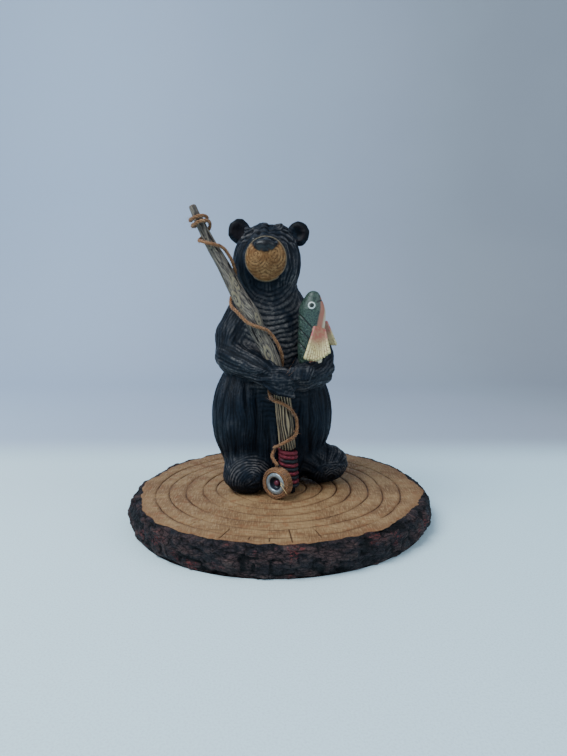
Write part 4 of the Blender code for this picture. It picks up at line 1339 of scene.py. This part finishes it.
def plinth_profile(rings):
    """Radii and heights from the middle of the top, over the bark, to the middle of the underside."""
    wood = PLINTH_DIAMETER / 2 - BARK_WIDTH
    last = wood - 3.5
    near_rings = [ring + offset for ring in rings for offset in (-1.1, -0.6, -0.25, 0.0, 0.25, 0.6, 1.1)]
    plain = [r for r in np.arange(1.0, last, 2.4) if min(abs(r - ring) for ring in rings) > 1.6]
    flat = [(radius, 0.0) for radius in sorted(near_rings + plain)]
    bark = [
        (last, 0),
        (wood, -BARK_DROP),
        (wood + BARK_WIDTH * 0.45, -BARK_DROP * 0.2),
        (wood + BARK_WIDTH * 0.85, -TOP * 0.18),
        (wood + BARK_WIDTH, -TOP * 0.45),
        (wood + BARK_WIDTH * 0.95, -TOP * 0.72),
        (wood + BARK_WIDTH * 0.70, -TOP * 0.94),
        (wood + BARK_WIDTH * 0.55, -TOP),
    ]
    rounded = [tuple(point) for point in smooth_line(bark, 5)]
    return np.array(flat + rounded + [(wood * 0.9, -TOP), (1.0, -TOP)])


def bark_relief(along, level, shift):
    """Height of the bark's plates and of the splits between them, for millimetres along the rim."""
    plates = noise_at(101, along / 9, level / 3.6 + 0.25 * shift)
    splits = ease_between(0.25, 0.0, np.abs(noise_at(103, along / 12, level / 4.2))) * 0.9
    cross = ease_between(0.16, 0.0, np.abs(noise_at(104, along / 4.2, level / 16))) * 0.5
    return 0.5 * plates + 0.35 * noise_at(105, along / 2.4, level / 2.0) - splits - cross


def drying_cracks(angle, radius):
    """1 along the middle of each crack, falling to 0 on both sides and at its ends."""
    crack = np.zeros(np.broadcast(radius, angle).shape)
    for degrees, start, end, width in CRACKS:
        aside = np.abs((angle - math.radians(degrees) + np.pi) % (2 * np.pi) - np.pi) * radius
        window = ease_between(start - 3, start + 5, radius) * ease_between(end + 3, end - 2, radius)
        crack = np.maximum(crack, bell(aside, width) * window)
    return crack


def make_plinth():
    wood = PLINTH_DIAMETER / 2 - BARK_WIDTH
    rings = np.arange(wood - 1.2 * RING_SPACING, RING_SPACING, -RING_SPACING)
    profile = plinth_profile(rings)
    angle = plinth_angles()[None, :]
    radius, level = profile[:, 0][:, None], profile[:, 1][:, None]
    shape = np.broadcast(radius, angle).shape
    x, y = radius * np.cos(angle), radius * np.sin(angle)
    flat = np.stack([x, y, np.broadcast_to(level + TOP, shape)], axis=-1).reshape(-1, 3)

    def drawn(scale, seed, stretch=(1, 1, 0)):
        return noise(flat * stretch, scale, seed).reshape(shape)

    last = rings[0] + 3.6
    share = np.clip((radius - last) / (wood - last), 0, 1)
    reach = radius + (rim_reach(angle, wood) - wood) * share
    wide = noise_at(114, x / 60, y / 60, radius / RING_SPACING)
    uneven = RING_WANDER * drawn(50, 7) + 0.6 * drawn(14, 9) + 2.4 * wide
    uneven *= ease_between(0, 2.5 * RING_SPACING, radius)
    reach = reach + uneven * np.clip((last + 6 - radius) / 6, 0, 1)
    waver = 2.8 * noise_at(110, angle * 5, radius * 0) + 1.6 * noise_at(111, angle * 13, radius * 0)
    waver = waver + 0.9 * noise_at(112, angle * 34, radius * 0)
    reach = reach + waver * share * ease_between(wood + 6, wood + 1, radius) * (level > -3)
    bark = np.clip((radius - wood) / (BARK_WIDTH * 0.4), 0, 1) * (level > -TOP * 0.99)
    chunks = drawn(14, 5, (1, 1, 1.6)) + 0.5 * drawn(7, 6, (1, 1, 1))
    relief = bark_relief(angle * RIM_RADIUS, level, drawn(20, 102))
    reach = reach + bark * (BARK_RELIEF * chunks * 0.92 + 1.5 * relief - 1.0)

    from_rings = radius[..., None] - rings
    ring_cut = bell(from_rings, RING_CUT_WIDTH).sum(axis=-1)
    ring_cut = ring_cut * np.clip(0.72 + 0.5 * drawn(30, 106) + 0.25 * drawn(9, 117), 0.35, 1)
    # A soft band of painted shade along each ring groove, wider than the groove and unevenly strong
    ring_shade = bell(from_rings, RING_SHADE_WIDTH).sum(axis=-1)
    ring_shade = np.clip(ring_shade * (0.6 + 0.7 * drawn(24, 113)), 0, 1)
    crack = drying_cracks(angle, radius)
    checks = ease_between(0.07, 0.0, np.abs(noise_at(115, angle * 26, radius / 16))) * (radius > 30)
    checks = checks * ease_between(0.1, 0.4, noise_at(116, angle * 9, radius / 22))
    on_top = (level > -0.01) * 1.0
    saw_marks = 0.12 * noise_at(107, x / 1.6, y / 22)
    height = level + TOP - on_top * (RING_CUT_DEPTH * ring_cut + 1.0 * crack + 0.12 + saw_marks)
    edge = bark * (level > -TOP * 0.1)
    height = height + edge * 1.2 * (drawn(11, 8) - 1) + edge * 0.8 * np.minimum(relief, 0)
    points = np.stack([reach * np.cos(angle), reach * np.sin(angle), height - TOP], axis=-1) + (*PITH, 0)
    values = {
        "bark": [np.clip((radius - wood + 0.6 * drawn(6, 108)) / 0.9, 0, 1)],
        "cut": [np.clip(ring_cut + crack + 0.4 * checks, 0, 1)],
        "ring_shade": [ring_shade],
        "relief": [relief + 0.5 * chunks],
        "from_pith": [np.broadcast_to(radius, shape)],
    }
    mesh = skin("log_slice", [points], values)
    add_piece(mesh, material("cut_wood", plinth_paint), "cast_wood", "plinth")


def plinth_paint(tree):
    cut, ring_shade, relief, from_pith, bark_share = kept(tree, "cut", "ring_shade", "relief", "from_pith", "bark")
    fleck, lumps = mottle(tree, 1.2, 4, (1, 9, 1)), mottle(tree, 2.6, 4, shift=2.0)
    wood = layered(
        mottle(tree, 30, 4).span(0.35, 0.65).between((118, 88, 60), (150, 120, 84)),
        (fleck.span(0.45, 0.65, 0.0, 0.6), (168, 138, 100)),
        (mottle(tree, 1.2, 4, (9, 1, 1), 4.0).span(0.50, 0.34, 0.0, 0.6), (88, 60, 38)),
        (mottle(tree, 9, 4, shift=7.0).span(0.52, 0.70, 0.0, 0.5), (128, 80, 50)),
        (from_pith.span(136, 149, 0.0, 0.45), (112, 74, 48)),
        # painted shade along the ring grooves
        (ring_shade * 0.55, (100, 66, 40)),
        (cut.span(0.12, 0.9, 0.0, 0.9), (62, 36, 20)),
    )

    level_lines = mottle(tree, 1.5, 3, (5, 5, 0.7), 3.0).span(0.5, 0.6)
    upright_lines = mottle(tree, 1.5, 3, (0.8, 0.8, 5), 5.0).span(0.54, 0.62)
    hatched = mottle(tree, 22, 3, shift=12.0).span(0.56, 0.66) * level_lines.maths("MAXIMUM", upright_lines)
    plates, flakes = crackle(tree, 6.5, (1.9, 1.9, 0.5)), crackle(tree, 2.6, (1, 1, 0.7))
    bark = layered(
        lumps.span(0.35, 0.65).between((14, 16, 24), (44, 38, 42)),
        (relief.span(-0.1, 0.9, 0.0, 0.8), (84, 66, 62)),
        (mottle(tree, 24, 3, (1, 1, 0.4), 15.0).span(0.46, 0.62, 0.0, 0.45), (92, 66, 62)),
        (hatched * 0.75, (120, 54, 52)),
        (relief.span(-0.25, -0.9), (6, 6, 9)),
        (plates.span(0.09, 0.02, 0.0, 0.7), (8, 9, 13)),
        (flakes.span(0.12, 0.02, 0.0, 0.35), (10, 11, 16)),
    )
    bark_share = bark_share.span(0.25, 0.75)
    raised = plates.span(0.0, 0.14) + flakes.span(0.0, 0.16, 0.0, 0.5)
    under = bumped(tree, raised * bark_share, 0.9, bumped(tree, lumps, 0.35))
    return {
        "Base Color": bark_share.between(wood, bark),
        "Roughness": fleck.span(0.2, 0.8, 0.85, 0.62),
        "Specular IOR Level": 0.22,
        "Normal": bumped(tree, fleck, 0.15, under),
    }


# The stage


def make_stage():
    """A pale sweep that the statue stands on."""
    profile = [(-2.5, 0.0), (-0.6, 0.0), (0.0, 0.0), (0.5, 0.0)]
    bend = [(0.9 + 0.6 * math.sin(a), 0.6 - 0.6 * math.cos(a)) for a in np.linspace(0, math.pi / 2, 12)]
    profile += bend + [(1.5, 3.0)]
    mesh = bpy.data.meshes.new("sweep")
    sides = (-3.0, 3.0)
    vertices = [(x, y, z) for y, z in profile for x in sides]
    faces = [(2 * i, 2 * i + 1, 2 * i + 3, 2 * i + 2) for i in range(len(profile) - 1)]
    mesh.from_pydata(vertices, [], faces)
    mesh.shade_smooth()
    mesh.materials.append(material("paper", paper_paint))
    floor = bpy.data.objects.new("sweep", mesh)
    bpy.context.scene.collection.objects.link(floor)


def paper_paint(tree):
    where = node(tree, "TexCoord", "Object")
    across = node(tree, "SeparateXYZ", "X", {"Vector": where})
    back = node(tree, "SeparateXYZ", "Y", {"Vector": where})
    grain = mottle(tree, 1.5, 3)
    # Painted shade: the wall is painted darker than the floor and darker still towards the right, as the key
    # light falls off from the left
    wall_painted_falloff = across.span(-0.8, 0.15).between((193, 211, 234), (175, 187, 205))
    colour = layered(
        # the floor is painted a little darker towards the right, a painted falloff of the light
        across.span(-0.4, 0.4).between((223, 248, 255), (215, 243, 253)),
        (back.span(0.16, 0.34), across.span(0.0, 0.8).between(wall_painted_falloff, (163, 169, 179))),
        (mottle(tree, 300, 2).span(0.3, 0.7, 0.0, 0.05), (214, 226, 232)),
        (grain.span(0.4, 0.7, 0.0, 0.22), (176, 190, 202)),
    )
    bumps = bumped(tree, grain, 0.2)
    return {"Base Color": colour, "Roughness": 0.9, "Specular IOR Level": 0.1, "Normal": bumps}


def add_light(name, place, size, power, colour):
    """A soft round light that looks at the middle of the statue."""
    light = bpy.data.lights.new(name, "AREA")
    light.shape = "DISK"
    light.size = size
    light.energy = power
    light.color = colour
    lamp = bpy.data.objects.new(name, light)
    lamp.location = place
    lamp.rotation_euler = (Vector((0, 0, 0.12)) - lamp.location).to_track_quat("-Z", "Y").to_euler()
    bpy.context.scene.collection.objects.link(lamp)


def light_stage():
    add_light("soft_key", (-0.9, -0.7, 1.6), 1.3, 38, (0.93, 1.0, 1.04))
    add_light("soft_fill", (1.3, -0.6, 0.9), 1.2, 7, (0.86, 0.94, 1.0))
    world = bpy.data.worlds.new("pale_room")
    world.use_nodes = True
    background = world.node_tree.nodes["Background"]
    background.inputs["Color"].default_value = (0.62, 0.74, 0.9, 1)
    background.inputs["Strength"].default_value = 0.65
    bpy.context.scene.world = world


def add_camera():
    data = bpy.data.cameras.new("camera")
    data.sensor_width = 36
    data.lens = CAMERA_LENS
    camera = bpy.data.objects.new("camera", data)
    camera.location = at_home(CAMERA_PLACE)
    camera.rotation_euler = (math.radians(CAMERA_TILT), 0, 0)
    bpy.context.scene.collection.objects.link(camera)
    bpy.context.scene.camera = camera


def make_bear():
    mesh = sculpt("carved_bear", BEAR, BEAR_HOLLOWS, BEAR_VOXEL, carve_bear, (0, 0, 0))
    add_piece(mesh, material("black_fur", bear_paint), "black_fur", "bear")


def make_fish():
    mesh = sculpt("trout", TROUT, [], FISH_VOXEL, carve_fish, FISH_PLACE)
    add_piece(mesh, material("trout_paint", fish_paint), "trout_paint", "fish")


BEAR = BEAR_FORMS + EYES + list(fingers())
TROUT = FISH_FORMS + list(fin_rays())

add_camera()
jute = material("jute", jute_paint)
make_plinth()
make_bear()
make_fish()
make_rod()
make_twine(jute)
make_grip_cord("red_grip_cord", 0.5, 0.1, cord_paint((54, 12, 24), CORD_RED), "red_cord", "grip_cord_red")
black_paint = cord_paint((8, 10, 15), (38, 44, 50), CORD_RED)
make_grip_cord("black_grip_cord", 0.0, 0.7, black_paint, "black_cord", "grip_cord_black")
make_reel()
make_winding(jute)
make_stage()
light_stage()
